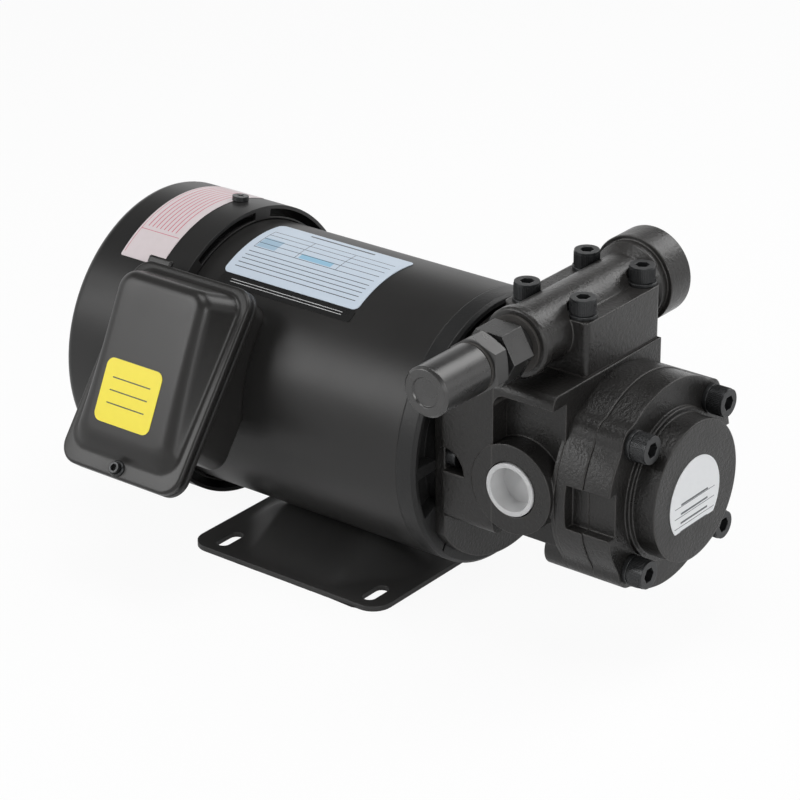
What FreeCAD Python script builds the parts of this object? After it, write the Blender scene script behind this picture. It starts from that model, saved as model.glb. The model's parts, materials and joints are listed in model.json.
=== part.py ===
import FreeCAD, Part

import math
import os

import Sketcher
from FreeCAD import Placement, Rotation, Vector

# Trochoid pump on a foot-mounted motor, in millimetres. +Z is up and the shaft lies along Y with the pump
# at -Y. The origin is on the floor, at the centre of the foot's four slots. The terminal box is on the -X
# side, tilted up, and the relief valve lies across the pump along X.

# Driving sizes: name, value, what it is
SIZES = [
    ("shaft_height", 80.0, "floor to shaft axis"),
    ("frame_radius", 65.0, "outside of the motor tube"),
    ("frame_wall", 3.0, "wall of the motor tube"),
    ("frame_front", 71.5, "origin to the tube's pump end"),
    ("frame_rear", 71.0, "origin to the tube's fan end"),
    ("press_gap", 0.02, "gap between pieces that are pressed or screwed together"),
    ("run_gap", 0.05, "gap between a shaft and the bore that it turns in"),
    ("foot_long", 116.0, "foot along the shaft"),
    ("foot_shift", 1.5, "foot's middle from the middle of its slots, towards the fan"),
    ("foot_wide", 122.0, "foot across the shaft"),
    ("foot_sheet", 2.6, "sheet of the foot"),
    ("foot_corner", 10.0, "corner radius of the foot"),
    ("slot_pitch_across", 95.0, "foot slots across the shaft"),
    ("slot_pitch_along", 90.0, "foot slots along the shaft"),
    ("slot_wide", 7.0, "width of a foot slot"),
    ("slot_long", 16.0, "length of a foot slot, end to end"),
    ("foot_end_knee", 26.0, "half width of the slope's lower end"),
    ("foot_lift", 0.2, "crease of the foot's slope above its flat ends"),
    ("foot_end_seat", 10.0, "half width of the crease at the slope's lower end"),
    ("foot_mid_knee", 54.0, "half width of the foot's rise in the middle"),
    ("foot_mid_seat", 24.0, "half width of the foot's saddle in the middle"),
    ("foot_mid_half", 25.5, "half length of the middle rise"),
    ("foot_blend", 24.5, "length of the slope at each end of the rise"),
    ("bracket_thick", 10.0, "front bracket, joint face to pump face"),
    ("bracket_chamfer", 1.5, "chamfer of the front bracket's rim"),
    ("bracket_plate", 9.0, "plate of a bracket between rim and hub"),
    ("spigot_long", 5.5, "spigot of a bracket in the tube"),
    ("spigot_wall", 4.5, "wall of that spigot"),
    ("pilot_radius", 32.0, "pilot of the pump in the front bracket"),
    ("pilot_deep", 3.0, "depth of that pilot"),
    ("window_deep", 6.5, "depth of the front bracket's windows"),
    ("window_long", 13.0, "length of the windows along the radius"),
    ("window_rim", 3.5, "windows inside the bracket's rim"),
    ("front_bearing_bore", 20.0, "front bearing, bore"),
    ("front_bearing_outer", 47.0, "front bearing, outside"),
    ("front_bearing_wide", 14.0, "front bearing, width"),
    ("front_ball", 7.9, "front bearing, ball diameter"),
    ("rear_bearing_bore", 15.0, "rear bearing, bore"),
    ("rear_bearing_outer", 35.0, "rear bearing, outside"),
    ("rear_bearing_wide", 11.0, "rear bearing, width"),
    ("rear_ball", 5.9, "rear bearing, ball diameter"),
    ("ball_gap", 0.1, "gap between a ball and its groove"),
    ("bearing_wall", 5.5, "hub wall round a bearing"),
    ("washer_thick", 1.0, "preload washer"),
    ("rod_inset", 5.0, "tube's inside to the circle of the tie rods"),
    ("rod_radius", 2.5, "radius of a tie rod"),
    ("hole_gap", 0.3, "gap between a screw and a plain hole"),
    ("core_half", 38.0, "half length of stator and rotor cores"),
    ("stator_deep", 27.0, "tube's inside to the stator's bore"),
    ("air_gap", 0.4, "gap between rotor and stator"),
    ("winding_long", 17.0, "length of a winding head"),
    ("winding_inset", 10.0, "tube's inside to a winding head"),
    ("stator_yoke", 13.0, "stator core outside its slots"),
    ("shaft_radius", 11.0, "radius of the motor shaft in the rotor"),
    ("shaft_nose", 9.0, "radius of the motor shaft's nose"),
    ("fan_seat", 7.0, "radius of the shaft under the fan"),
    ("tang_wide", 6.0, "width of the pump shaft's tang"),
    ("tang_long", 8.0, "length of the pump shaft's tang"),
    ("fan_clear", 12.4, "fan's tips to the inside of the fan cover"),
    ("fan_start", 92.0, "origin to the fan's back plate"),
    ("fan_deep", 19.0, "depth of the fan's blades"),
    ("fan_hub", 13.0, "radius of the fan's hub"),
    ("cover_step", 7.0, "fan cover's outside beyond the motor tube"),
    ("cover_sheet", 1.6, "sheet of the fan cover"),
    ("cover_front", 67.4, "origin to the fan cover's front rim"),
    ("cover_rear", 126.0, "origin to the fan cover's grille"),
    ("cover_bend", 5.0, "radius of the fan cover's rear edge"),
    ("cover_turn", 8.0, "turn of the fan cover's screws from the top, degrees"),
    ("cover_screw_at", 82.0, "origin to the fan cover's screws"),
    ("box_tilt", 37.0, "tilt of the terminal box's face, degrees"),
    ("box_stand", 14.3, "motor tube to the back of the box cover"),
    ("box_left", 15.5, "origin to the cover's edge on the pump side"),
    ("box_wide", 72.5, "cover along the shaft"),
    ("box_up", 15.5, "cover's upper edge above the box's centre line"),
    ("box_long", 101.5, "cover down its slope"),
    ("box_corner", 10.0, "corner radius of the cover"),
    ("box_wall", 2.5, "wall of the terminal box"),
    ("box_lip", 3.5, "flange of the box outside its walls"),
    ("box_drop", 66.0, "lower wall of the box below its centre line"),
    ("box_deep", 24.0, "depth of the box below the cover"),
    ("gasket_thick", 0.8, "gasket of the terminal box"),
    ("cover_rim", 4.0, "depth of the cover's rim"),
    ("dome_top", 20.0, "height of the dome at its upper end"),
    ("dome_low", 4.5, "height of the dome at its lower end"),
    ("dome_inset", 4.5, "rim left outside the dome"),
    ("dome_draft", 4.0, "lean of the dome's sides"),
    ("dome_round", 9.0, "corner radius of the dome"),
    ("cable_entry", 8.0, "radius of the cable entry's thread"),
    ("cable_wall", 2.5, "wall of the boss round the cable entry"),
    ("cable_long", 10.0, "length of that boss"),
    ("body_long", 65.5, "pump body, motor face to casing joint"),
    ("body_side", 52.0, "shaft axis to the suction face"),
    ("block_side", 51.0, "shaft axis to the block's left face"),
    ("body_right", 32.5, "shaft axis to the right end of the deck"),
    ("body_drop", 25.0, "shaft axis down to the block's underside"),
    ("deck_up", 51.5, "shaft axis up to the deck"),
    ("flange_inset", 5.5, "pump's motor flange inside the motor tube's outline"),
    ("flange_side", 49.0, "half width of that flange"),
    ("flange_thick", 5.5, "thickness of that flange"),
    ("housing_radius", 42.0, "radius of the round part of the body"),
    ("rim_thick", 2.0, "thickness of the body's rim at the casing joint"),
    ("lug_boss", 12.0, "length of a screw boss behind the joint"),
    ("casing_grip", 9.0, "reach of a casing screw in the body"),
    ("relief_deep", 10.0, "depth of the recess in the body's side"),
    ("relief_start", 32.0, "casing joint back to the motor end of that recess"),
    ("relief_round", 6.0, "corner radius of that recess"),
    ("deck_thick", 6.0, "deck above that recess"),
    ("port_radius", 21.5, "radius of the suction boss"),
    ("port_thread", 13.2, "radius of a port's thread"),
    ("port_deep", 14.0, "depth of a port's thread"),
    ("port_back", 21.7, "suction port behind the casing joint"),
    ("port_up", 2.2, "suction port above the shaft axis"),
    ("suction_bore", 10.0, "radius of the suction passage"),
    ("pump_shaft_radius", 7.0, "radius of the pump shaft"),
    ("bush_radius", 9.5, "outside of a bearing bush"),
    ("seal_radius", 15.0, "outside of the shaft seal"),
    ("seal_wide", 7.0, "width of the shaft seal"),
    ("coupling_radius", 13.0, "radius of the coupling chamber"),
    ("lobe_circle", 21.0, "circle of the outer rotor's lobes"),
    ("lobe_radius", 5.5, "radius of an outer rotor lobe"),
    ("rotor_offset", 2.4, "distance between the two rotors' axes"),
    ("rotor_wide", 13.9, "width of the rotors"),
    ("rotor_outer", 28.0, "outside of the outer rotor"),
    ("rotor_gap", 0.06, "gap between the rotors"),
    ("key_wide", 4.0, "drive key, width and height"),
    ("key_long", 10.0, "drive key, length"),
    ("casing_radius", 49.5, "radius of the rotor housing"),
    ("casing_waist", 49.0, "radius of the front casing"),
    ("casing_long", 28.0, "joint to the casing's front face"),
    ("lug_circle", 42.9, "radius of the casing screws' circle"),
    ("lug_radius", 8.8, "radius of a casing screw's lug"),
    ("lug_blend", 10.0, "hollow between a lug and the drum"),
    ("step_radius", 35.5, "radius of the raised step"),
    ("step_high", 2.2, "height of the raised step"),
    ("cap_radius", 33.0, "radius of the end boss"),
    ("cap_long", 11.2, "step to the end boss's face"),
    ("notch_start", 5.5, "casing joint to the casing's side notch"),
    ("notch_up", 11.0, "top of that notch above the shaft axis"),
    ("notch_down", 10.0, "bottom of that notch below the shaft axis"),
    ("notch_deep", 6.5, "depth of that notch"),
    ("ring_circle", 34.4, "middle radius of the casing's sealing ring"),
    ("ring_section", 0.9, "section radius of the sealing ring"),
    ("casing_screw", 4.0, "radius of a casing screw"),
    ("casing_head", 6.5, "radius of its head"),
    ("casing_head_high", 8.0, "height of its head"),
    ("spring_washer", 2.0, "thickness of its spring washer"),
    ("mount_screw", 3.0, "radius of a pump mounting screw"),
    ("mount_head", 4.8, "radius of its head"),
    ("mount_head_high", 5.0, "height of its head"),
    ("mount_up", 5.1, "pump mounting screws above the shaft axis"),
    ("scallop", 12.0, "reach of the hollow round a mounting screw's head"),
    ("mount_x", 44.0, "shaft axis to the pump mounting screws"),
    ("valve_back", 23.5, "valve axis behind the casing joint"),
    ("valve_up", 18.5, "valve axis above the deck"),
    ("valve_left", 24.5, "valve block's left end from the shaft axis"),
    ("valve_right", 32.5, "valve block's right end from the shaft axis"),
    ("valve_half", 22.5, "half depth of the valve block"),
    ("ledge_up", 7.0, "valve ledge above the valve axis"),
    ("valve_gasket_thick", 0.5, "gasket under the valve"),
    ("valve_tube", 15.0, "radius of the valve's tube"),
    ("collar_radius", 16.4, "radius of the valve's end collar"),
    ("collar_at", 46.5, "shaft axis to the valve's adjusting end"),
    ("outlet_radius", 21.0, "radius of the outlet boss"),
    ("outlet_at", 61.4, "shaft axis to the outlet face"),
    ("outlet_long", 17.4, "length of the outlet boss"),
    ("chamber_radius", 8.5, "bore of the relief chamber"),
    ("seat_at", 6.0, "shaft axis to the relief seat"),
    ("seat_radius", 5.0, "bore of the relief seat"),
    ("drill_radius", 3.5, "radius of the return passage"),
    ("drill_at", 14.0, "shaft axis to each upright passage"),
    ("feed_radius", 5.0, "radius of the pressure passage"),
    ("valve_screw", 3.0, "radius of a valve screw"),
    ("valve_head", 5.8, "radius of its head"),
    ("valve_head_high", 7.5, "height of its head"),
    ("valve_washer", 6.6, "radius of its washer"),
    ("valve_screw_centre", 5.6, "valve screws' middle from the shaft axis"),
    ("valve_pitch_x", 46.0, "valve screws along the valve"),
    ("valve_pitch_y", 30.0, "valve screws across the valve"),
    ("plug_thread", 10.0, "radius of the hexagon plug's thread"),
    ("hex_flats", 24.0, "hexagons across flats"),
    ("plug_hex_long", 14.0, "length of the plug's hexagon"),
    ("neck_long", 4.0, "neck between washer and hexagon"),
    ("adjust_radius", 7.0, "radius of the adjusting screw"),
    ("adjust_pitch", 1.5, "pitch of the adjusting screw"),
    ("nut_long", 9.0, "length of the lock nut"),
    ("cap_nut_radius", 11.5, "radius of the cap nut"),
    ("cap_nut_long", 32.0, "length of the cap nut"),
    ("seal_washer", 1.5, "thickness of a sealing washer"),
    ("spring_mean", 5.4, "mean radius of the relief spring"),
    ("spring_wire", 0.8, "wire radius of the relief spring"),
    ("spring_turns", 6.0, "turns of the relief spring"),
]

doc = FreeCAD.newDocument("trochoid_pump")
sheet = doc.addObject("Spreadsheet::Sheet", "dims")
for row, (alias, amount, note) in enumerate(SIZES, start=1):
    sheet.set(f"A{row}", note)
    sheet.set(f"B{row}", str(amount))
    sheet.setAlias(f"B{row}", alias)
doc.recompute()


class Size:
    """A number together with the sheet formula that it comes from."""

    def __init__(self, value, text=None):
        self.value = float(value)
        self.text = text or repr(float(value))

    def __add__(self, other):
        other = size(other)
        return Size(self.value + other.value, f"({self.text} + {other.text})")

    def __sub__(self, other):
        other = size(other)
        return Size(self.value - other.value, f"({self.text} - {other.text})")

    def __mul__(self, other):
        other = size(other)
        return Size(self.value * other.value, f"({self.text} * {other.text})")

    def __truediv__(self, other):
        other = size(other)
        return Size(self.value / other.value, f"({self.text} / {other.text})")

    def __neg__(self):
        return Size(-self.value, f"(0 - {self.text})")

    def __radd__(self, other):
        return size(other) + self

    def __rsub__(self, other):
        return size(other) - self

    def __rmul__(self, other):
        return size(other) * self


class Sheet:
    """The sheet's cells, read by their aliases."""

    def __getattr__(self, alias):
        return Size(sheet.get(alias), f"dims.{alias}")


d = Sheet()
ZERO = Size(0)


def size(value):
    return value if isinstance(value, Size) else Size(value)


def number(value):
    return value.value if isinstance(value, Size) else float(value)


def root(value):
    return Size(math.sqrt(value.value), f"sqrt({value.text})")


def sine(angle):
    angle = size(angle)
    return Size(math.sin(math.radians(angle.value)), f"sin({angle.text})")


def cosine(angle):
    angle = size(angle)
    return Size(math.cos(math.radians(angle.value)), f"cos({angle.text})")


def chord_height(radius, across):
    """Height of a circle of this radius at this distance from its centre."""
    return root(radius * radius - across * across)


def bind(thing, prop, value):
    """Ties a property to the sheet, or sets it when the value is a plain number."""
    if isinstance(value, Size):
        thing.setExpression(prop, value.text)
    else:
        setattr(thing, prop, value)


def place(thing, at, turn=None):
    """Puts a sub-part at a point of the row's frame, tied to the sheet."""
    at = [size(v) for v in at]
    thing.Placement = Placement(Vector(*[v.value for v in at]), turn or Rotation())
    for axis, value in zip("xyz", at):
        if value.text != ZERO.text:
            thing.setExpression(f".Placement.Base.{axis}", value.text)


def new_body(label, at=(0, 0, 0), turn=None):
    body = doc.addObject("PartDesign::Body", label)
    body.Label = label
    place(body, at, turn)
    return body


def plane_of(body, plane):
    for feature in body.Origin.OriginFeatures:
        if feature.Role == f"{plane}_Plane":
            return feature
    raise ValueError(plane)


def axis_of(body, axis):
    for feature in body.Origin.OriginFeatures:
        if feature.Role == f"{axis}_Axis":
            return feature
    raise ValueError(axis)


# Distance along the row's axis becomes distance along the sketch plane's own normal
PLANE_SIGN = {"XY": 1, "XZ": -1, "YZ": 1}


def new_sketch(body, plane, at=ZERO):
    """Sketch on one of the body's own planes, moved along its normal to coordinate at."""
    sketch = body.newObject("Sketcher::SketchObject", f"{body.Name}_sketch")
    sketch.AttachmentSupport = [(plane_of(body, plane), "")]
    sketch.MapMode = "FlatFace"
    at = size(at) * PLANE_SIGN[plane]
    sketch.AttachmentOffset = Placement(Vector(0, 0, at.value), Rotation())
    sketch.setExpression("AttachmentOffset.Base.z", at.text)
    return sketch


def tie_point(rules, bound, geometry, end, x, y):
    """Rules that hold a point at (x, y), with the sheet formulas that go with them."""
    for kind, value, axis in (("DistanceX", x, -2), ("DistanceY", y, -1)):
        value = size(value)
        if abs(value.value) < 1e-9:
            rules.append(("PointOnObject", geometry, end, axis))
            continue
        rules.append((kind, -1, 1, geometry, end, value.value))
        bound.append((len(rules) - 1, value.text))


def apply_rules(sketch, rules, bound):
    start = sketch.ConstraintCount
    sketch.addConstraint([Sketcher.Constraint(*rule) for rule in rules])
    for index, text in bound:
        sketch.setExpression(f"Constraints[{start + index}]", text)


def arc_between(start, end, radius):
    """Arc under half a turn; it runs anticlockwise for a positive radius."""
    middle = (start + end) * 0.5
    half = (end - start) * 0.5
    reach = abs(radius)
    rise = math.sqrt(max(reach * reach - half.Length * half.Length, 0))
    side = Vector(-half.y, half.x, 0).normalize() * rise
    centre = middle + side if radius > 0 else middle - side
    first, last = (start, end) if radius > 0 else (end, start)
    low = math.atan2(first.y - centre.y, first.x - centre.x)
    high = math.atan2(last.y - centre.y, last.x - centre.x)
    if high < low:
        high += 2 * math.pi
    return Part.ArcOfCircle(Part.Circle(centre, Vector(0, 0, 1), reach), low, high)


def draw_outline(sketch, corners):
    """Closed outline. A corner is (x, y), or (x, y, radius) where an arc leads to it."""
    first = sketch.GeometryCount
    rules, bound, ends = [], [], []
    for index, corner in enumerate(corners):
        before = corners[index - 1]
        start = Vector(number(before[0]), number(before[1]), 0)
        end = Vector(number(corner[0]), number(corner[1]), 0)
        geometry = first + index
        if len(corner) == 2:
            sketch.addGeometry(Part.LineSegment(start, end), False)
            ends.append((1, 2))
            continue
        radius = size(corner[2])
        sketch.addGeometry(arc_between(start, end, radius.value), False)
        ends.append((1, 2) if radius.value > 0 else (2, 1))
        rules.append(("Radius", geometry, abs(radius.value)))
        bound.append((len(rules) - 1, radius.text if radius.value > 0 else (-radius).text))
    for index, corner in enumerate(corners):
        geometry = first + index
        after = first + (index + 1) % len(corners)
        here = ends[index][1]
        rules.append(("Coincident", geometry, here, after, ends[(index + 1) % len(corners)][0]))
        tie_point(rules, bound, geometry, here, corner[0], corner[1])
    apply_rules(sketch, rules, bound)


def draw_circle(sketch, x, y, radius):
    index = sketch.GeometryCount
    centre = Vector(number(x), number(y), 0)
    sketch.addGeometry(Part.Circle(centre, Vector(0, 0, 1), number(radius)), False)
    radius = size(radius)
    rules = [("Radius", index, radius.value)]
    bound = [(0, radius.text)]
    tie_point(rules, bound, index, 3, x, y)
    apply_rules(sketch, rules, bound)


def draw_round_box(sketch, low, high, radius):
    """Rectangle between two corners, with round corners."""
    (x0, y0), (x1, y1) = low, high
    draw_outline(sketch, [
        (x0 + radius, y0), (x1 - radius, y0), (x1, y0 + radius, radius), (x1, y1 - radius),
        (x1 - radius, y1, radius), (x0 + radius, y1), (x0, y1 - radius, radius), (x0, y0 + radius),
        (x0 + radius, y0, radius),
    ][1:])


def draw_box(sketch, low, high):
    (x0, y0), (x1, y1) = low, high
    draw_outline(sketch, [(x0, y0), (x1, y0), (x1, y1), (x0, y1)])


def draw_slot(sketch, x, y, long, wide):
    """Slot along x with round ends."""
    r = wide / 2
    run = long / 2 - r
    draw_outline(sketch, [
        (x - run, y - r), (x + run, y - r), (x + run + r, y, r), (x + run, y + r, r),
        (x - run, y + r), (x - run - r, y, r), (x - run, y - r, r),
    ][1:])


def draw_hexagon(sketch, x, y, flats, turn=0):
    reach = flats / math.sqrt(3)
    corners = []
    for side in range(6):
        angle = turn + 60 * side
        corners.append((x + reach * math.cos(math.radians(angle)), y + reach * math.sin(math.radians(angle))))
    draw_outline(sketch, corners)


def draw_ring_slot(sketch, inner, outer, low, high):
    """Slot between two radii, from one angle to another, in degrees."""
    a, b = math.radians(low), math.radians(high)
    draw_outline(sketch, [
        (inner * math.cos(a), inner * math.sin(a), -inner),
        (outer * math.cos(a), outer * math.sin(a)),
        (outer * math.cos(b), outer * math.sin(b), outer),
        (inner * math.cos(b), inner * math.sin(b)),
    ])


def normal_side(sketch):
    return PLANE_SIGN[sketch.AttachmentSupport[0][0].Role[:2]]


def pad(body, sketch, length, toward=1):
    """Pads from the sketch's plane towards the plus or the minus side of its axis."""
    feature = body.newObject("PartDesign::Pad", f"{body.Name}_pad")
    feature.Profile = sketch
    bind(feature, "Length", length)
    feature.Reversed = toward != normal_side(sketch)
    return feature


def pocket(body, sketch, length=None, toward=1):
    """Cuts from the sketch's plane towards one side of its axis; without a length it cuts through."""
    feature = body.newObject("PartDesign::Pocket", f"{body.Name}_pocket")
    feature.Profile = sketch
    if length is None:
        feature.Type = "ThroughAll"
    else:
        bind(feature, "Length", length)
    feature.Reversed = toward == normal_side(sketch)
    return feature


def revolve(body, sketch, axis):
    feature = body.newObject("PartDesign::Revolution", f"{body.Name}_turn")
    feature.Profile = sketch
    feature.ReferenceAxis = (sketch, [axis])
    feature.Angle = 360
    return feature


def groove(body, sketch, axis):
    feature = body.newObject("PartDesign::Groove", f"{body.Name}_bore")
    feature.Profile = sketch
    feature.ReferenceAxis = (sketch, [axis])
    feature.Angle = 360
    return feature


def repeat_round(body, features, axis, count):
    """Repeats features round one of the body's own axes."""
    pattern = body.newObject("PartDesign::PolarPattern", f"{body.Name}_round")
    pattern.Originals = features
    pattern.Axis = (axis_of(body, axis), [""])
    pattern.Angle = 360
    pattern.Occurrences = count
    body.Tip = pattern
    return pattern


AXIS_AT = {"Y": (ZERO, ZERO, d.shaft_height)}


def turned_y(label, profile, at=None, turn=None):
    """Piece turned about an axis along Y. The profile holds (radius, y)."""
    body = new_body(label, at or AXIS_AT["Y"], turn)
    sketch = new_sketch(body, "XY")
    draw_outline(sketch, profile)
    revolve(body, sketch, "V_Axis")
    return body


def turned_x(label, profile, at):
    """Piece turned about an axis along X. The profile holds (x, radius)."""
    body = new_body(label, at)
    sketch = new_sketch(body, "XY")
    draw_outline(sketch, profile)
    revolve(body, sketch, "H_Axis")
    return body


def bore_y(body, profile):
    sketch = new_sketch(body, "XY")
    draw_outline(sketch, profile)
    return groove(body, sketch, "V_Axis")


def bore_x(body, profile):
    sketch = new_sketch(body, "XY")
    draw_outline(sketch, profile)
    return groove(body, sketch, "H_Axis")


def ring(inner, outer, low, high):
    """Profile of a plain ring for turned_y."""
    return [(inner, low), (outer, low), (outer, high), (inner, high)]


def cap_screws(label, plane, seats, seat_at, shank, head, head_high, shank_long, toward=1, at=None):
    """Socket head screws with their heads on the plane's positive or negative side."""
    body = new_body(label, at or (0, 0, 0))
    grip = new_sketch(body, plane, seat_at)
    for x, y in seats:
        draw_circle(grip, x, y, shank)
    pad(body, grip, shank_long, -toward)
    cap = new_sketch(body, plane, seat_at)
    for x, y in seats:
        draw_circle(cap, x, y, head)
    pad(body, cap, head_high, toward)
    key = new_sketch(body, plane, seat_at + head_high * toward)
    for x, y in seats:
        draw_hexagon(key, x, y, head)
    pocket(body, key, head_high / 2, -toward)
    return body


def flat_washers(label, plane, seats, seat_at, thick, inner, outer, toward=1, at=None):
    """Washers that stand on a seat, on its plus or its minus side."""
    body = new_body(label, at or (0, 0, 0))
    sketch = new_sketch(body, plane, seat_at)
    for x, y in seats:
        draw_circle(sketch, x, y, outer)
        draw_circle(sketch, x, y, inner)
    pad(body, sketch, thick, toward)
    return body


def edges_near(shape, test):
    """Names of the edges whose middle point passes the test."""
    names = []
    for index, edge in enumerate(shape.Edges, start=1):
        low, high = edge.ParameterRange
        if test(edge.valueAt((low + high) / 2)):
            names.append(f"Edge{index}")
    return names


# Places along the shaft
front_joint = -d.frame_front
rear_joint = d.frame_rear
pump_face = front_joint - d.bracket_thick
casing_joint = pump_face - d.body_long
casing_front = casing_joint - d.casing_long
step_front = casing_front - d.step_high
boss_front = step_front - d.cap_long
front_bearing_start = pump_face + 5.5
front_bearing_end = front_bearing_start + d.front_bearing_wide
rear_bearing_end = rear_joint + 6
rear_bearing_start = rear_bearing_end - d.rear_bearing_wide
shaft_axis = AXIS_AT["Y"]
tube_inside = d.frame_radius - d.frame_wall
rod_circle = tube_inside - d.rod_inset
stator_bore = tube_inside - d.stator_deep
window_outer = d.frame_radius - d.window_rim
window_inner = window_outer - d.window_long
cover_radius = d.frame_radius + d.cover_step
fan_radius = cover_radius - d.cover_sheet - d.fan_clear
box_face = d.frame_radius + d.box_stand
flange_radius = d.frame_radius - d.flange_inset
ROD_TURN = 45
FOUR = 4


def motor_frame():
    body = turned_y("motor_frame", ring(tube_inside, d.frame_radius, front_joint, rear_joint))
    lead_hole = new_sketch(body, "YZ")
    draw_circle(lead_hole, d.box_left + d.box_wide / 2, d.frame_radius * sine(23), 9.0)
    pocket(body, lead_hole, toward=-1)
    return body


def foot_rise(knee, seat, lift=None):
    """Outside and inside of the foot's rise: two slopes and a saddle that holds the tube or lies lower."""
    under = d.frame_radius + d.run_gap
    high = chord_height(under, seat)
    rise = d.shaft_height - high
    if lift is not None:
        rise = d.foot_sheet + under - high + lift
    low = under + d.foot_sheet
    share = low / under
    run = knee - seat
    drop = rise - d.foot_sheet
    slant = root(run * run + drop * drop)
    inner_knee = knee - d.foot_sheet * drop / (slant + run)
    seat_low = seat * share
    rise_low = rise + high - high * share
    outside = [
        (-knee, d.foot_sheet / 2), (knee, d.foot_sheet / 2), (knee, d.foot_sheet), (seat, rise),
        (-seat, rise, -under), (-knee, d.foot_sheet),
    ]
    inside = [
        (-inner_knee, -d.foot_sheet), (inner_knee, -d.foot_sheet), (inner_knee, ZERO), (seat_low, rise_low),
        (-seat_low, rise_low, -low), (-inner_knee, ZERO),
    ]
    return outside, inside


def mounting_foot():
    body = new_body("mounting_foot", (ZERO, d.foot_shift, ZERO))
    ends = d.foot_long / 2
    far, near = d.foot_mid_half + d.foot_blend, d.foot_mid_half
    end_rise = foot_rise(d.foot_end_knee, d.foot_end_seat, d.foot_lift)
    middle_rise = foot_rise(d.foot_mid_knee, d.foot_mid_seat)
    plate = new_sketch(body, "XY")
    draw_box(plate, (-d.foot_wide / 2, -ends), (d.foot_wide / 2, ends))
    pad(body, plate, d.foot_sheet)
    for kind, side in (("AdditiveLoft", 0), ("SubtractiveLoft", 1)):
        sections = []
        for at, outline in ((-far, end_rise), (-near, middle_rise), (near, middle_rise), (far, end_rise)):
            section = new_sketch(body, "XZ", at)
            draw_outline(section, outline[side])
            sections.append(section)
        loft = body.newObject(f"PartDesign::{kind}", "foot_rise")
        loft.Profile = sections[0]
        loft.Sections = sections[1:]
        loft.Ruled = True
    slots = new_sketch(body, "XY")
    for x in (1, -1):
        for y in (1, -1):
            slot_y = d.slot_pitch_along / 2 * y - d.foot_shift
            draw_slot(slots, d.slot_pitch_across / 2 * x, slot_y, d.slot_long, d.slot_wide)
    pocket(body, slots)
    corners = new_sketch(body, "XY", d.foot_sheet + 1)
    far_x, far_y, reach = d.foot_wide / 2, ends, d.foot_corner
    for x in (1, -1):
        for y in (1, -1):
            draw_outline(corners, [
                (far_x * x, (far_y - reach) * y, reach * (-x * y)), ((far_x + 1) * x, (far_y - reach) * y),
                ((far_x + 1) * x, (far_y + 1) * y), ((far_x - reach) * x, (far_y + 1) * y),
                ((far_x - reach) * x, far_y * y),
            ])
    pocket(body, corners, toward=-1)
    return body


def front_bracket():
    hub = d.front_bearing_outer / 2 + d.bearing_wall
    seat = d.front_bearing_outer / 2 + d.press_gap
    neck = d.shaft_nose + 5
    spigot = tube_inside - d.press_gap
    hub_end = front_bearing_end + 2
    plate = pump_face + d.bracket_plate
    body = turned_y("front_bracket", [
        (d.pilot_radius, pump_face), (d.frame_radius - d.bracket_chamfer, pump_face),
        (d.frame_radius, pump_face + d.bracket_chamfer), (d.frame_radius, front_joint),
        (spigot, front_joint), (spigot, front_joint + d.spigot_long),
        (spigot - d.spigot_wall, front_joint + d.spigot_long), (spigot - d.spigot_wall, plate),
        (hub, plate), (hub, hub_end), (seat, hub_end), (seat, front_bearing_start),
        (neck, front_bearing_start), (neck, pump_face + d.pilot_deep), (d.pilot_radius, pump_face + d.pilot_deep),
    ])
    windows = new_sketch(body, "XZ", pump_face)
    for low, high in ((152.5, 177), (182.5, 203), (-23, -2.5), (3, 27.5), (64, 116)):
        draw_ring_slot(windows, window_inner, window_outer, low, high)
    pocket(body, windows, d.window_deep)
    drain = new_sketch(body, "XZ", pump_face)
    x, z = -41.4, -42.3
    draw_outline(drain, [(x - 2.6, z - 2.6), (x - 1.4, z - 3.8), (x + 2.6, z + 2.6), (x + 1.4, z + 3.8)])
    pocket(body, drain, 4.0)
    rods = new_sketch(body, "XZ", front_joint + d.spigot_long)
    draw_rod_circles(rods, d.rod_radius + d.press_gap)
    pocket(body, rods, d.spigot_long + 6, toward=-1)
    screws = new_sketch(body, "XZ", pump_face)
    for side in (1, -1):
        draw_circle(screws, d.mount_x * side, d.mount_up, d.mount_screw + d.press_gap)
    pocket(body, screws, d.bracket_plate)
    return body


def draw_rod_circles(sketch, radius):
    for step in range(FOUR):
        angle = math.radians(ROD_TURN + 90 * step)
        draw_circle(sketch, rod_circle * math.cos(angle), rod_circle * math.sin(angle), radius)


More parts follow.
